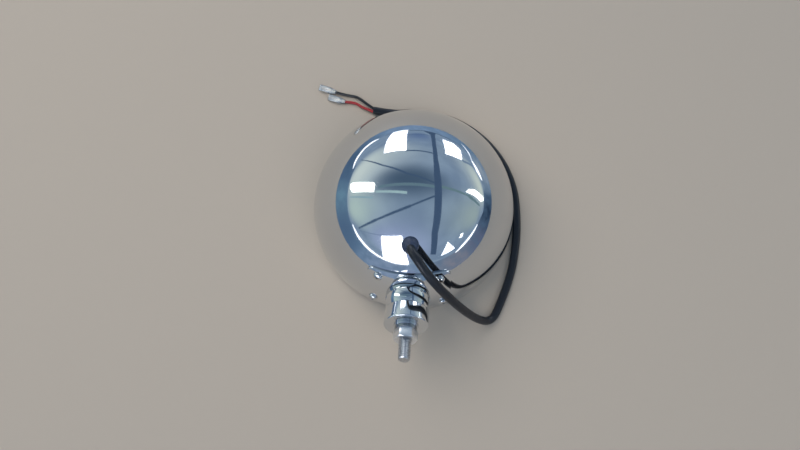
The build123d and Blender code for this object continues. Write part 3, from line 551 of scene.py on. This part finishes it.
def makeWashers():
    piece = turnedPiece("flatWasher", washerOutline(flatWasher), washerSteps, finishes["turned_stainless"])
    fitOnPost(piece, 30, "base", "polished_stainless", "flat_washer")
    values = springWasher
    radius, thickness = values["radius"], values["thickness"]
    piece = turnedPiece("springWasher", washerOutline(values), washerSteps, finishes["spring_steel"])
    bpy.ops.mesh.primitive_cube_add(size=1)
    saw = bpy.context.object
    saw.dimensions = (radius * mm, values["gap"] * mm, 3 * thickness * mm)
    saw.location = (radius * mm, 0, (values["start"] + thickness / 2) * mm)
    saw.rotation_euler = (radians(values["slant"]), 0, 0)
    applyPlace(saw)
    cutWith(piece, saw)
    fitOnPost(piece, 30, "base", "spring_steel", "spring_washer")


def makeNut():
    corner = nut["width"] / sqrt(3)
    drop = (corner - nut["width"] / 2) * tan(radians(nut["chamfer"]))
    low, high = nut["start"], nut["start"] + nut["height"]
    bpy.ops.mesh.primitive_cylinder_add(
        vertices=6, radius=corner * mm, depth=nut["height"] * mm, location=(0, 0, (low + high) / 2 * mm)
    )
    piece = bpy.context.object
    piece.name = "hexNut"
    piece.rotation_euler = (0, 0, radians(30))  # a flat is up
    applyPlace(piece)
    finish = finishes["satin_stainless"]
    piece.data.materials.append(finish)
    half, wide, drop = nut["width"] / 2, corner + nut["spare"], drop + nut["spareDrop"]
    cone = [(0, low), (half, low), (wide, low + drop), (wide, high - drop), (half, high), (0, high)]
    cutWith(piece, turnedPiece("nutChamfer", cone, nut["steps"], finish), "INTERSECT")
    bore, mouth, past = nut["bore"], nut["mouth"], nut["past"]
    flare = mouth - bore
    drill = [
        (0, low - past), (mouth + past, low - past), (mouth, low), (bore, low + flare),
        (bore, high - flare), (mouth, high), (mouth + past, high + past), (0, high + past),
    ]
    cutWith(piece, turnedPiece("nutBore", drill, nut["boreSteps"], finish))
    bevelEdges(piece, nut)
    fitOnPost(piece, 25, "base", "polished_stainless", "hex_nut")


def makeStud():
    tip, spare, radius, core = stud["tipChamfer"], stud["spare"], stud["radius"], stud["core"]
    start, threadStart, end = stud["start"], stud["threadStart"], stud["end"]
    steps = stud["turnSteps"]
    headCorner = stud["headWidth"] / sqrt(3)
    roundWide, roundHigh = stud["coreRound"]
    # core with its shank; the tooth is wound round it
    outline = [
        (0, start - spare), (radius, start - spare), (radius, threadStart), (core, threadStart + stud["runout"]),
        (core, end - roundHigh), (core - roundWide, end), (0, end),
    ]
    piece = turnedPiece("mountStud", outline, steps, finishes["thread_steel"])
    bpy.ops.mesh.primitive_plane_add(size=1)
    tooth = bpy.context.object
    root = core - stud["toothOverlap"]
    halfRoot, halfCrest = stud["pitch"] * stud["toothShare"], stud["crest"] / 2
    corners = [(root, -halfRoot), (radius, -halfCrest), (root, halfRoot), (radius, halfCrest)]
    for vertex, (across, along) in zip(tooth.data.vertices, corners):
        vertex.co = Vector((across, 0, threadStart - stud["lead"] + along)) * mm
    useModifier(
        tooth, "SCREW", axis="Z", angle=2 * pi, screw_offset=stud["pitch"] * mm,
        iterations=int((end - threadStart) / stud["pitch"]) + stud["spareTurns"],
        steps=steps, render_steps=steps, use_merge_vertices=False,
    )
    bpy.context.view_layer.objects.active = tooth
    bpy.ops.object.mode_set(mode="EDIT")
    bpy.ops.mesh.select_all(action="SELECT")
    bpy.ops.mesh.remove_doubles(threshold=nearAxis * mm)
    bpy.ops.mesh.select_all(action="DESELECT")
    bpy.ops.mesh.select_non_manifold()
    bpy.ops.mesh.fill()
    bpy.ops.mesh.select_all(action="SELECT")
    bpy.ops.mesh.normals_make_consistent(inside=False)
    bpy.ops.object.mode_set(mode="OBJECT")
    cutWith(piece, tooth, "UNION")
    envelope = [
        (0, start - 2 * spare), (radius + spare, start - 2 * spare), (radius + spare, end - tip - spare),
        (radius - tip, end), (0, end),
    ]
    cutWith(piece, turnedPiece("studEnvelope", envelope, steps, finishes["thread_steel"]), "INTERSECT")
    bpy.ops.mesh.primitive_cylinder_add(
        vertices=6, radius=headCorner * mm, depth=stud["headHeight"] * mm,
        location=(0, 0, (start - stud["headHeight"] / 2) * mm),
    )
    head = bpy.context.object
    applyPlace(head)
    cutWith(piece, head, "UNION")
    fitOnPost(piece, 25, "base", "thread_steel", "mount_stud")


makeWashers()
makeNut()
makeStud()
print("washers, nut and stud made")

# Saddle plate: its outline lies across the post, in millimetres (across, up the bowl)
saddle = {
    "outer": 92.0, "inner": 90.1, "opening": 14.5, "reach": 48,
    "top": 26.5, "bottom": -20, "topHalf": 33.5, "bottomHalf": 36.5, "corner": 5,
    "cornerSteps": 6, "edge": 0.25, "edgeSteps": 3, "edgeAngle": 50, "steps": 192, "arcSteps": 20,
    "cutThreshold": 0.0001,
}
saddleScrew = {
    "places": [(-25.2, 20.1), (25.2, 20.1), (-29.6, -12.5), (29.6, -12.5)],
    "headRadius": 3.8, "headHeight": 2.6, "domeStart": 0.7, "recessWidth": 0.95, "recessReach": 2.1,
    "recessDepth": 1.5, "recessTaper": 0.45, "turns": [12, 55, 80, 31], "steps": 48, "domeStep": 6,
    "sunk": 0.5, "foot": 0.15,
}


def saddleCorners():
    # corner centres and the directions that their arcs turn through
    corners = [
        (-saddle["bottomHalf"], saddle["bottom"]), (saddle["bottomHalf"], saddle["bottom"]),
        (saddle["topHalf"], saddle["top"]), (-saddle["topHalf"], saddle["top"]),
    ]
    corners = [Vector(corner) for corner in corners]
    normals = []
    for i, corner in enumerate(corners):
        along = (corners[(i + 1) % 4] - corner).normalized()
        normals.append(Vector((along.y, -along.x)))
    found = []
    for i, corner in enumerate(corners):
        before, after = normals[i - 1], normals[i]
        middle = (before + after).normalized()
        centre = corner - middle * saddle["corner"] / middle.dot(after)
        found.append((centre, before, after))
    return found


def makeSaddlePlate():
    outline = []
    for radius, edges in [
            (saddle["outer"], (saddle["reach"], saddle["opening"])),
            (saddle["inner"], (saddle["opening"], saddle["reach"])),
    ]:
        start, end = [degrees(acos(edge / radius)) for edge in edges]
        outline += arc((0, 0), radius, start, end, saddle["arcSteps"])
    outline.append(outline[0])
    piece = turnedPiece("saddlePlate", outline, saddle["steps"], finishes["polished_stainless"])
    bpy.context.view_layer.objects.active = piece
    bpy.ops.object.mode_set(mode="EDIT")
    for centre, before, after in saddleCorners():
        for i in range(saddle["cornerSteps"] + 1):
            facing = before.lerp(after, i / saddle["cornerSteps"]).normalized()
            foot = centre + facing * saddle["corner"]
            bpy.ops.mesh.select_all(action="SELECT")
            bpy.ops.mesh.bisect(
                plane_co=(foot.x * mm, foot.y * mm, 0), plane_no=(facing.x, facing.y, 0),
                use_fill=True, clear_outer=True, clear_inner=False, threshold=saddle["cutThreshold"] * mm,
            )
    bpy.ops.mesh.select_all(action="SELECT")
    bpy.ops.mesh.remove_doubles(threshold=nearAxis * mm)
    bpy.ops.mesh.normals_make_consistent(inside=False)
    bpy.ops.object.mode_set(mode="OBJECT")
    bevelEdges(piece, saddle)
    smoothByAngle(piece)
    placeAlong(piece, 0, post["elevation"])
    ready(piece, "lamp", "polished_stainless", "saddle_plate")


def makeSaddleScrews():
    values = saddleScrew
    height, start, foot = values["headHeight"], values["domeStart"], values["foot"]
    radius = values["headRadius"]
    outline = [(0, -values["sunk"]), (radius - foot, -values["sunk"]), (radius - foot, 0), (radius, foot)]
    for angle in range(0, 91, values["domeStep"]):
        turn = radians(angle)
        outline.append((radius * cos(turn), start + (height - start) * sin(turn)))
    head = turnedPiece("saddleScrew1", outline, values["steps"], finishes["stainless_steel"])
    for turn in (0, 90):
        bpy.ops.mesh.primitive_cube_add(size=1, location=(0, 0, height * mm))
        blade = bpy.context.object
        blade.scale = (2 * values["recessReach"] * mm, values["recessWidth"] * mm, 2 * values["recessDepth"] * mm)
        blade.rotation_euler = (0, 0, radians(turn))
        applyPlace(blade)
        for vertex in blade.data.vertices:
            if vertex.co.z < height * mm:
                # the recess narrows to its bottom
                vertex.co.x *= values["recessTaper"]
                vertex.co.y *= values["recessTaper"]
        cutWith(head, blade)
    smoothByAngle(head)
    lean = radians(post["elevation"])
    postWay = Vector((0, -cos(lean), sin(lean)))
    postUp = Vector((0, sin(lean), cos(lean)))
    for i, (across, up) in enumerate(values["places"]):
        piece = head if i == 0 else copyOf(head, f"saddleScrew{i + 1}")
        along = sqrt(saddle["outer"] ** 2 - across ** 2 - up ** 2)
        facing = (Vector((across, 0, 0)) + postUp * up + postWay * along).normalized()
        turned = Matrix.Rotation(radians(values["turns"][i]), 4, "Z")
        facingUp = facing.to_track_quat("Z", "Y").to_matrix().to_4x4()
        foot = Matrix.Translation((bowlCentre + facing * saddle["outer"]) * mm)
        piece.matrix_world = foot @ facingUp @ turned
    for i in range(len(values["places"])):
        piece = bpy.data.objects[f"saddleScrew{i + 1}"]
        applyPlace(piece)
        ready(piece, "lamp", "stainless_steel", "saddle_screws")


makeSaddlePlate()
makeSaddleScrews()
print("saddle plate and screws made")

# Rubber grommet where the cable leaves the bowl, in millimetres from the bowl's surface
grommet = {
    "radius": 6.9, "height": 7.2, "neck": 5.4, "hole": 3.55, "skirt": 0.6, "foot": -1.8,
    "domeEnd": 48,  # degrees round the dome at which its collar starts
    "domeStep": 6, "collarHeight": 1.2, "collarStep": 0.3, "lean": 1.6, "steps": 64,
    "edge": 0.2, "edgeSteps": 2, "edgeAngle": 40,
}


def makeGrommet():
    values = grommet
    low, height, skirt = values["foot"], values["height"], values["skirt"]
    radius, hole, step = values["radius"], values["hole"], values["collarStep"]
    rise = height - values["collarHeight"] - skirt
    full = sin(radians(values["domeEnd"]))
    outline = [
        (hole, low), (values["neck"], low), (values["neck"], skirt / 2), (radius, skirt / 6), (radius, skirt),
    ]
    # the dome narrows to the collar that grips the cable
    for angle in range(values["domeStep"], values["domeEnd"] + 1, values["domeStep"]):
        outline.append((radius * cos(radians(angle)), skirt + rise * sin(radians(angle)) / full))
    collar = outline[-1][0] - step
    outline += [(collar, height - values["collarHeight"] + step), (collar - step, height - step)]
    outline += [(collar - 2 * step, height), (hole + step, height), (hole, height - 2 * step), (hole, low)]
    piece = turnedPiece("cableGrommet", outline, values["steps"], finishes["black_rubber"])
    bevelEdges(piece, values)
    placeAlong(piece, bowl["radius"], cable["grommetElevation"])
    # the cable pulls the dome over, more towards its top
    foot = bowlCentre + grommetWay * (bowl["radius"] + skirt)
    for vertex in piece.data.vertices:
        above = (vertex.co / mm - foot).dot(grommetWay)
        if above > 0:
            vertex.co += cableLean * values["lean"] * (above / (height - skirt)) ** 2 * mm
    smoothByAngle(piece, 40)
    ready(piece, "lamp", "black_rubber", "cable_grommet")


makeGrommet()
print("grommet made")

# Crimp terminals in clear sleeves, in millimetres along the wire's last run. A station is its place along the
# run, its half width and its half height
terminal = {
    "stations": [
        # flared mouth, barrel with its crimp, neck, and the channel with its own flare
        (1, 1.643, 1.643), (1.3, 1.55, 1.55), (2.2, 1.55, 1.55), (2.5, 1.6275, 1.395), (4.3, 1.6275, 1.395),
        (4.6, 1.55, 1.55), (6.5, 1.55, 1.55), (8.1, 2.5, 1.1), (14.7, 2.5, 1.1), (15, 2.6, 1.188),
    ],
    "steps": 40, "squareFrom": 6.6, "squareness": 3.5, "slitFrom": 8.1, "slit": 0.5, "wall": 0.3,
    "edge": 0.06, "edgeSteps": 2, "edgeAngle": 50,
}
sleeve = {
    "stations": [
        # round throat with a soft lip, and the flat pocket round the channel
        (0, 1.98, 1.98), (0.12, 2.1, 2.1), (1.4, 2.1, 2.1), (3.1, 2.415, 2.1), (5, 3.072, 2.079),
        (6, 3.2, 2.1), (11.9, 3.136, 2.037), (16.88, 3.2, 2.1), (17, 3.08, 1.98),
    ],
    "steps": 48, "squareFrom": 4.9, "squareness": 3, "wall": 0.4,
}
sameLevel = 0.01  # points this near in height belong to one station


def tubeStations(name, values, finish):
    # a ring is extruded from station to station, and its far part is squared up
    bpy.ops.object.select_all(action="DESELECT")
    bpy.ops.mesh.primitive_circle_add(vertices=values["steps"], radius=mm)
    piece = bpy.context.object
    piece.name = name
    along, wide, high = values["stations"][0]
    bpy.ops.object.mode_set(mode="EDIT")
    bpy.ops.mesh.select_all(action="SELECT")
    bpy.ops.transform.resize(value=(wide, high, 1), center_override=(0, 0, 0))
    bpy.ops.transform.translate(value=(0, 0, along * mm))
    for nextAlong, nextWide, nextHigh in values["stations"][1:]:
        bpy.ops.mesh.extrude_edges_move()
        bpy.ops.transform.resize(value=(nextWide / wide, nextHigh / high, 1), center_override=(0, 0, 0))
        bpy.ops.transform.translate(value=(0, 0, (nextAlong - along) * mm))
        along, wide, high = nextAlong, nextWide, nextHigh
    bpy.ops.mesh.select_all(action="SELECT")
    bpy.ops.mesh.normals_make_consistent(inside=False)
    bpy.ops.object.mode_set(mode="OBJECT")
    piece.data.materials.append(finish)
    piece.select_set(False)
    squareUp(piece, values["squareFrom"], values["squareness"])
    return piece


def squareUp(piece, fromAlong, power):
    # flattens the round sides beyond a place towards a rounded oblong
    vertices = piece.data.vertices
    for vertex in vertices:
        if vertex.co.z > fromAlong * mm:
            station = [v.co for v in vertices if abs(v.co.z - vertex.co.z) < sameLevel * mm]
            across = vertex.co.x / max(abs(place.x) for place in station)
            up = vertex.co.y / max(abs(place.y) for place in station)
            reach = (abs(across) ** power + abs(up) ** power) ** (1 / power)
            vertex.co.x, vertex.co.y = vertex.co.x / reach, vertex.co.y / reach


def alongWire(piece, points):
    # stands the piece on the start of the wire's last run, with its flat side down
    start, end = Vector(points[-2]), Vector(points[-1])
    way = Vector((end.x - start.x, end.y - start.y, 0)).normalized()
    side = Vector((-way.y, way.x, 0))
    axes = Matrix((side, Vector((0, 0, 1)), way)).transposed().to_4x4()
    piece.matrix_world = Matrix.Translation(Vector((start.x, start.y, end.z)) * mm) @ axes
    applyPlace(piece)


def makeTerminal(colour, points):
    values = terminal
    piece = tubeStations(f"crimpTerminal{colour}", values, finishes["tinned_brass"])
    # the channel's edges curl in and leave a slit on top
    bpy.context.view_layer.objects.active = piece
    bpy.ops.object.mode_set(mode="EDIT")
    bpy.ops.mesh.select_mode(type="FACE")
    bpy.ops.mesh.select_all(action="DESELECT")
    bpy.ops.object.mode_set(mode="OBJECT")
    for face in piece.data.polygons:
        x, y, z = face.center / mm
        face.select = z > values["slitFrom"] and y > 0 and abs(x) < values["slit"]
    bpy.ops.object.mode_set(mode="EDIT")
    bpy.ops.mesh.delete(type="FACE")
    bpy.ops.mesh.select_mode(type="VERT")
    bpy.ops.object.mode_set(mode="OBJECT")
    useModifier(piece, "SOLIDIFY", thickness=values["wall"] * mm, offset=-1)
    bevelEdges(piece, values)
    smoothByAngle(piece, 35)
    alongWire(piece, points)
    ready(piece, "lamp", "tinned_brass", f"terminal_{colour.lower()}")
    return piece


def makeSleeve(colour, points):
    values = sleeve
    piece = tubeStations(f"clearSleeve{colour}", values, finishes["clear_sleeve"])
    useModifier(piece, "SOLIDIFY", thickness=values["wall"] * mm, offset=-1)
    useModifier(piece, "SUBSURF", levels=1, render_levels=1)
    smoothByAngle(piece, 60)
    alongWire(piece, points)
    ready(piece, "lamp", "clear_sleeve", f"sleeve_{colour.lower()}")
    return piece


# Cords ride on the lamp and replace their solids
redEnd = [makeTerminal("Red", cable["redPoints"]), makeSleeve("Red", cable["redPoints"])]
blackEnd = [makeTerminal("Black", cable["blackPoints"]), makeSleeve("Black", cable["blackPoints"])]
ready(jacket, "lamp", "cable_jacket", "cable_sheath")
ready(redWire, "lamp", "red_insulation", "wire_red")
ready(blackWire, "lamp", "black_insulation", "wire_black")
print("terminals, sleeves and cords made")

# The floor, and a hall that only the polished metal mirrors. Roof places are in roof heights from the lamp
surroundings = {
    "floorRadius": 0.8,
    "floorSteps": 256,
    "floorDrop": 0.05,  # in millimetres, so that the floor doesn't cut the ring
    "floorColour": "b3aa9d",
    "backdrop": "a9a49d",
    "roofHeight": 2.4,
    "roofDark": "8298b1",
    "roofLight": "94aac0",
    # pattern, its range and colour; the pattern is its scale and detail
    "cloud": (0.5, 2, 0.35, 0.65),
    "wallPatches": (9, 2, 0.4, 0.65, 0.45, "5f7b97"),
    # colour, strength and how far below the roof, in metres
    "skylightGlow": ("f6f9ff", 5, 0.02),
    "stripGlow": ("fbfff4", 4, 0.03),
    "beamGlow": ("4a607d", 1, 0.05),
    "barDrop": 0.035,
    "windowGlow": ("f6f9ff", 2.6),
    "windowTaper": 0.25,
    "wallDistance": 9.0,
    "wallColour": "7290ad",
    # azimuth in degrees, reach on both sides, colour
    "walls": [
        (95, 40, "8aa4c4"), (145, 32, "4f6a88"), (180, 22, "7499ae"), (-160, 26, "5a7492"),
        (-105, 38, "93a6c1"), (-45, 30, "8e8f9c"), (-20, 20, "65708a"), (2, 20, "30425a"), (32, 18, "9dacbb"),
    ],
    "roof": [
        (-4.45, 3.2), (-4.4, -1.0), (-3.7, -2.0), (-2.9, -2.8), (-1.7, -3.45), (1.5, -3.45), (3.0, -3.0),
        (4.2, -1.9), (5.4, -0.9), (8.0, 0.0), (9.0, 5.0), (13.0, 9.2), (13.0, 19.0), (2.2, 25.0), (-9.0, 19.0),
        (-9.4, 7.8), (-5.6, 3.2),
    ],
    # centre, reach along X and Y, colour
    "patches": [
        ((0.1, 5.0), (1.4, 3.9), "6c84aa"), ((-2.5, 1.3), (3.6, 2.1), "dfebe6"),
        ((-2.4, -0.3), (2.8, 1.2), "c3d8d2"), ((4.9, 1.9), (5.0, 2.5), "dbe6dd"),
        ((2.8, -0.3), (3.2, 1.3), "a9bbbb"), ((-0.4, -1.5), (1.7, 1.6), "adbbe0"),
        ((-0.1, 0.38), (1.5, 0.62), "4f657c"),
    ],
    "skylights": [
        [(-1.06, 1.63), (-0.28, 1.46), (-0.75, 5.0), (-2.9, 24.0), (-7.6, 24.0), (-1.85, 4.0)],
        [(0.98, 1.72), (2.26, 2.42), (4.36, 6.25), (4.23, 8.02), (2.12, 5.94)],
        [(-0.85, -1.02), (-0.23, -0.85), (-0.17, -1.58), (-0.07, -3.42), (-1.1, -3.38), (-1.58, -3.14)],
        [(1.24, -1.26), (2.25, -2.12), (1.79, -2.28), (1.47, -2.39)],
        [(1.9, -1.08), (1.98, -1.3), (2.2, -1.3), (2.12, -1.06)],
    ],
    "strips": [
        [(-3.68, 1.1), (-3.13, 1.01), (-0.97, 0.4), (-0.92, 0.33), (-0.93, 0.16), (-2.73, 0.43), (-3.44, 0.74)],
        [(1.57, 0.44), (1.84, 0.61), (2.73, 0.88), (6.92, 1.51), (7.18, 1.16), (4.67, 0.62), (2.63, 0.55)],
    ],
    "beam": [
        (1.0, 20.0), (1.19, 7.04), (0.55, 2.21), (0.42, 1.08), (0.38, 0.55), (0.4, -0.04), (0.46, -0.74),
        (0.75, -1.9), (1.02, -2.01), (0.64, -0.76), (0.57, -0.02), (0.54, 0.6), (0.56, 1.16), (0.74, 2.4),
        (1.75, 7.6), (4.6, 20.0),
    ],
    # start, end, width and colour of the thin bars
    "bars": [
        ((-3.7, 3.02), (-0.84, 0.9), 0.045, "4c637f"), ((-0.84, 0.9), (-0.15, 0.5), 0.04, "4c637f"),
        ((-0.15, 0.5), (0.42, 0.34), 0.035, "4c637f"), ((-2.44, -1.21), (-0.89, -0.51), 0.07, "4c637f"),
        ((-0.89, -0.51), (-0.05, -0.14), 0.05, "4c637f"), ((-0.05, -0.14), (0.42, 0.09), 0.035, "4c637f"),
        ((-2.3, -1.28), (-0.73, -0.96), 0.02, "6a7f9c"), ((-0.3, 1.42), (0.46, 1.42), 0.075, "4c637f"),
        ((-0.83, 5.02), (1.2, 6.2), 0.4, "5f7799"), ((0.86, 1.68), (2.23, 2.34), 0.06, "768da8"),
        ((2.23, 2.34), (7.6, 5.57), 0.2, "768da8"), ((-0.8, 0.26), (0.4, 0.27), 0.06, "6f8a97"),
        ((-0.86, 0.16), (-0.12, 0.1), 0.05, "b3d0d3"), ((0.55, 0.3), (1.8, 0.36), 0.06, "718d94"),
        ((1.8, 0.36), (4.2, 0.3), 0.13, "718d94"), ((-3.3, 0.28), (-0.95, 0.03), 0.05, "9cbcc6"),
        ((-7.0, 17.5), (11.0, 17.5), 5.0, "4c637f"),
    ],
    # windows under the roof's edge: azimuth and elevation in degrees along each, then its height
    "windows": [
        ([(-160, 14.2), (-148, 13.9), (-134, 13.8), (-125, 14.1), (-115, 14.5), (-103, 15.2), (-92, 15.6)], 2.6),
        ([(-45, 12.6), (-36, 13.2), (-24, 12.3), (-12, 10.8)], 2.2),
        ([(150, 8.8), (145, 6.4), (140, 4.7), (132, 2.8), (124, 2.6), (119, 3.5)], 1.9),
        ([(43, 5.6), (34, 6.2), (26, 5.3)], 3.4),
        ([(58, -1.9), (50, 1.2), (42, 5.9)], 0.9),
    ],
}


def glowPanel(panel, name, colour, strength):
    # only mirrors see the panel
    panel.name = name
    panel.visible_camera = panel.visible_diffuse = panel.visible_shadow = False
    material = bpy.data.materials.new(name)
    material.use_nodes = True
    tree = material.node_tree
    tree.nodes.clear()
    glow = addNode(tree, "ShaderNodeEmission", None, {"Color": linear(colour), "Strength": strength})
    addNode(tree, "ShaderNodeOutputMaterial", None, {"Surface": glow.outputs[0]})
    panel.data.materials.append(material)
    return tree, glow


def roofPanel(name, corners, colour, strength, drop=0.0):
    bpy.ops.object.select_all(action="DESELECT")
    bpy.ops.mesh.primitive_circle_add(vertices=len(corners), fill_type="NGON")
    panel = bpy.context.object
    height = surroundings["roofHeight"]
    for vertex, (x, y) in zip(panel.data.vertices, corners):
        vertex.co = (x * height, y * height, height - drop)
    return glowPanel(panel, name, colour, strength)


def roofBar(name, start, end, width, colour):
    start, end = Vector(start), Vector(end)
    side = (end - start).orthogonal().normalized() * width / 2
    corners = [start + side, end + side, end - side, start - side]
    roofPanel(name, corners, colour, 1, surroundings["barDrop"])


def windowStrip(name, points, tall):
    # a bright strip on the far wall, placed by direction from the lamp
    bpy.ops.object.select_all(action="DESELECT")
    bpy.ops.mesh.primitive_grid_add(x_subdivisions=len(points) - 1, y_subdivisions=1)
    panel = bpy.context.object
    far = surroundings["wallDistance"]
    for vertex in panel.data.vertices:
        row, column = divmod(vertex.index, len(points))
        azimuth, elevation = points[column]
        half = tall / 2 * (surroundings["windowTaper"] if column in (0, len(points) - 1) else 1)
        turn, rise = radians(azimuth), radians(elevation + (half if row else -half))
        vertex.co = (far * cos(turn), far * sin(turn), far * tan(rise))
    glowPanel(panel, name, *surroundings["windowGlow"])


def makeFloor():
    bpy.ops.mesh.primitive_circle_add(
        vertices=surroundings["floorSteps"], radius=surroundings["floorRadius"], fill_type="NGON",
        location=(0, 0, -surroundings["floorDrop"] * mm),
    )
    floor = bpy.context.object
    floor.name = "floor"
    inputs = {"Base Color": linear(surroundings["floorColour"]), "Roughness": 0.8, "Specular IOR Level": 0.2}
    floor.data.materials.append(makeFinish("plainFloor", inputs))


def makeWalls():
    world = scene.world or bpy.data.worlds.new("hall")
    scene.world = world
    world.use_nodes = True
    tree = world.node_tree
    way = addNode(tree, "ShaderNodeTexCoord").outputs["Generated"]
    layers = []
    for azimuth, reach, colour in surroundings["walls"]:
        facing = (cos(radians(azimuth)), sin(radians(azimuth)), 0)
        towards = addNode(tree, "ShaderNodeVectorMath", {"operation": "DOT_PRODUCT"}, {0: way, 1: facing})
        inputs = {"Value": towards.outputs["Value"], "From Min": cos(radians(reach))}
        layers.append((addNode(tree, "ShaderNodeMapRange", None, inputs).outputs["Result"], colour))
    scale, detail, low, high, most, colour = surroundings["wallPatches"]
    noise = addNode(tree, "ShaderNodeTexNoise", None, {"Vector": way, "Scale": scale, "Detail": detail})
    inputs = {"Value": noise.outputs["Fac"], "From Min": low, "From Max": high, "To Max": most}
    layers.append((addNode(tree, "ShaderNodeMapRange", None, inputs).outputs["Result"], colour))
    # behind the floor the camera sees a plain backdrop
    seen = addNode(tree, "ShaderNodeLightPath").outputs["Is Camera Ray"]
    layers.append((seen, surroundings["backdrop"]))
    colour = linear(surroundings["wallColour"])
    for share, over in layers:
        inputs = {0: share, 6: colour, 7: linear(over)}
        colour = addNode(tree, "ShaderNodeMix", mixColours, inputs).outputs[2]
    tree.links.new(colour, tree.nodes["Background"].inputs["Color"])
    tree.nodes["Background"].inputs["Strength"].default_value = 1


def makeRoof():
    values = surroundings
    height = values["roofHeight"]
    tree, glow = roofPanel("roof", values["roof"], values["roofDark"], 1)
    place = addNode(tree, "ShaderNodeTexCoord").outputs["Object"]
    scale, detail, low, high = values["cloud"]
    noise = addNode(tree, "ShaderNodeTexNoise", None, {"Vector": place, "Scale": scale, "Detail": detail})
    inputs = {"Value": noise.outputs["Fac"], "From Min": low, "From Max": high}
    layers = [(addNode(tree, "ShaderNodeMapRange", None, inputs).outputs["Result"], values["roofLight"])]
    for centre, reach, colour in values["patches"]:
        middle = Vector((*centre, 1)) * height
        shrink = Vector((1 / reach[0], 1 / reach[1], 0)) / height
        share = place
        for operation, second in [("SUBTRACT", middle), ("MULTIPLY", shrink)]:
            inputs = {0: share, 1: second}
            share = addNode(tree, "ShaderNodeVectorMath", {"operation": operation}, inputs).outputs["Vector"]
        away = addNode(tree, "ShaderNodeVectorMath", {"operation": "LENGTH"}, {0: share}).outputs["Value"]
        # full in the middle, nothing at its reach
        inputs = {"Value": away, "To Min": 1, "To Max": 0}
        fade = addNode(tree, "ShaderNodeMapRange", {"interpolation_type": "SMOOTHERSTEP"}, inputs)
        layers.append((fade.outputs["Result"], colour))
    colour = linear(values["roofDark"])
    for share, over in layers:
        inputs = {0: share, 6: colour, 7: linear(over)}
        colour = addNode(tree, "ShaderNodeMix", mixColours, inputs).outputs[2]
    tree.links.new(colour, glow.inputs["Color"])
    for name in ("skylight", "strip"):
        for i, corners in enumerate(values[f"{name}s"]):
            roofPanel(f"{name}{i + 1}", corners, *values[f"{name}Glow"])
    for i, bar in enumerate(values["bars"]):
        roofBar(f"bar{i + 1}", *bar)
    roofPanel("mainBeam", values["beam"], *values["beamGlow"])
    for i, window in enumerate(values["windows"]):
        windowStrip(f"window{i + 1}", *window)


# soft lights over the lamp: place, size and energy
lights = {"keyLight": ((-1.0, 0.7, 1.8), 2.0, 33), "fillLight": ((0.8, -0.9, 1.8), 1.8, 14)}
lightColour = "fff3e8"


def areaLight(name, place, size, energy):
    bpy.ops.object.light_add(type="AREA", location=place)
    light = bpy.context.object
    light.name = name
    light.data.shape = "DISK"
    light.data.size = size
    light.data.energy = energy
    light.data.color = linear(lightColour)[:3]
    light.rotation_euler = (-Vector(place)).to_track_quat("-Z", "Y").to_euler()
    light.visible_glossy = False
    light.visible_camera = False


makeFloor()
makeWalls()
makeRoof()
for name, values in lights.items():
    areaLight(name, *values)
print("surroundings and lights set")
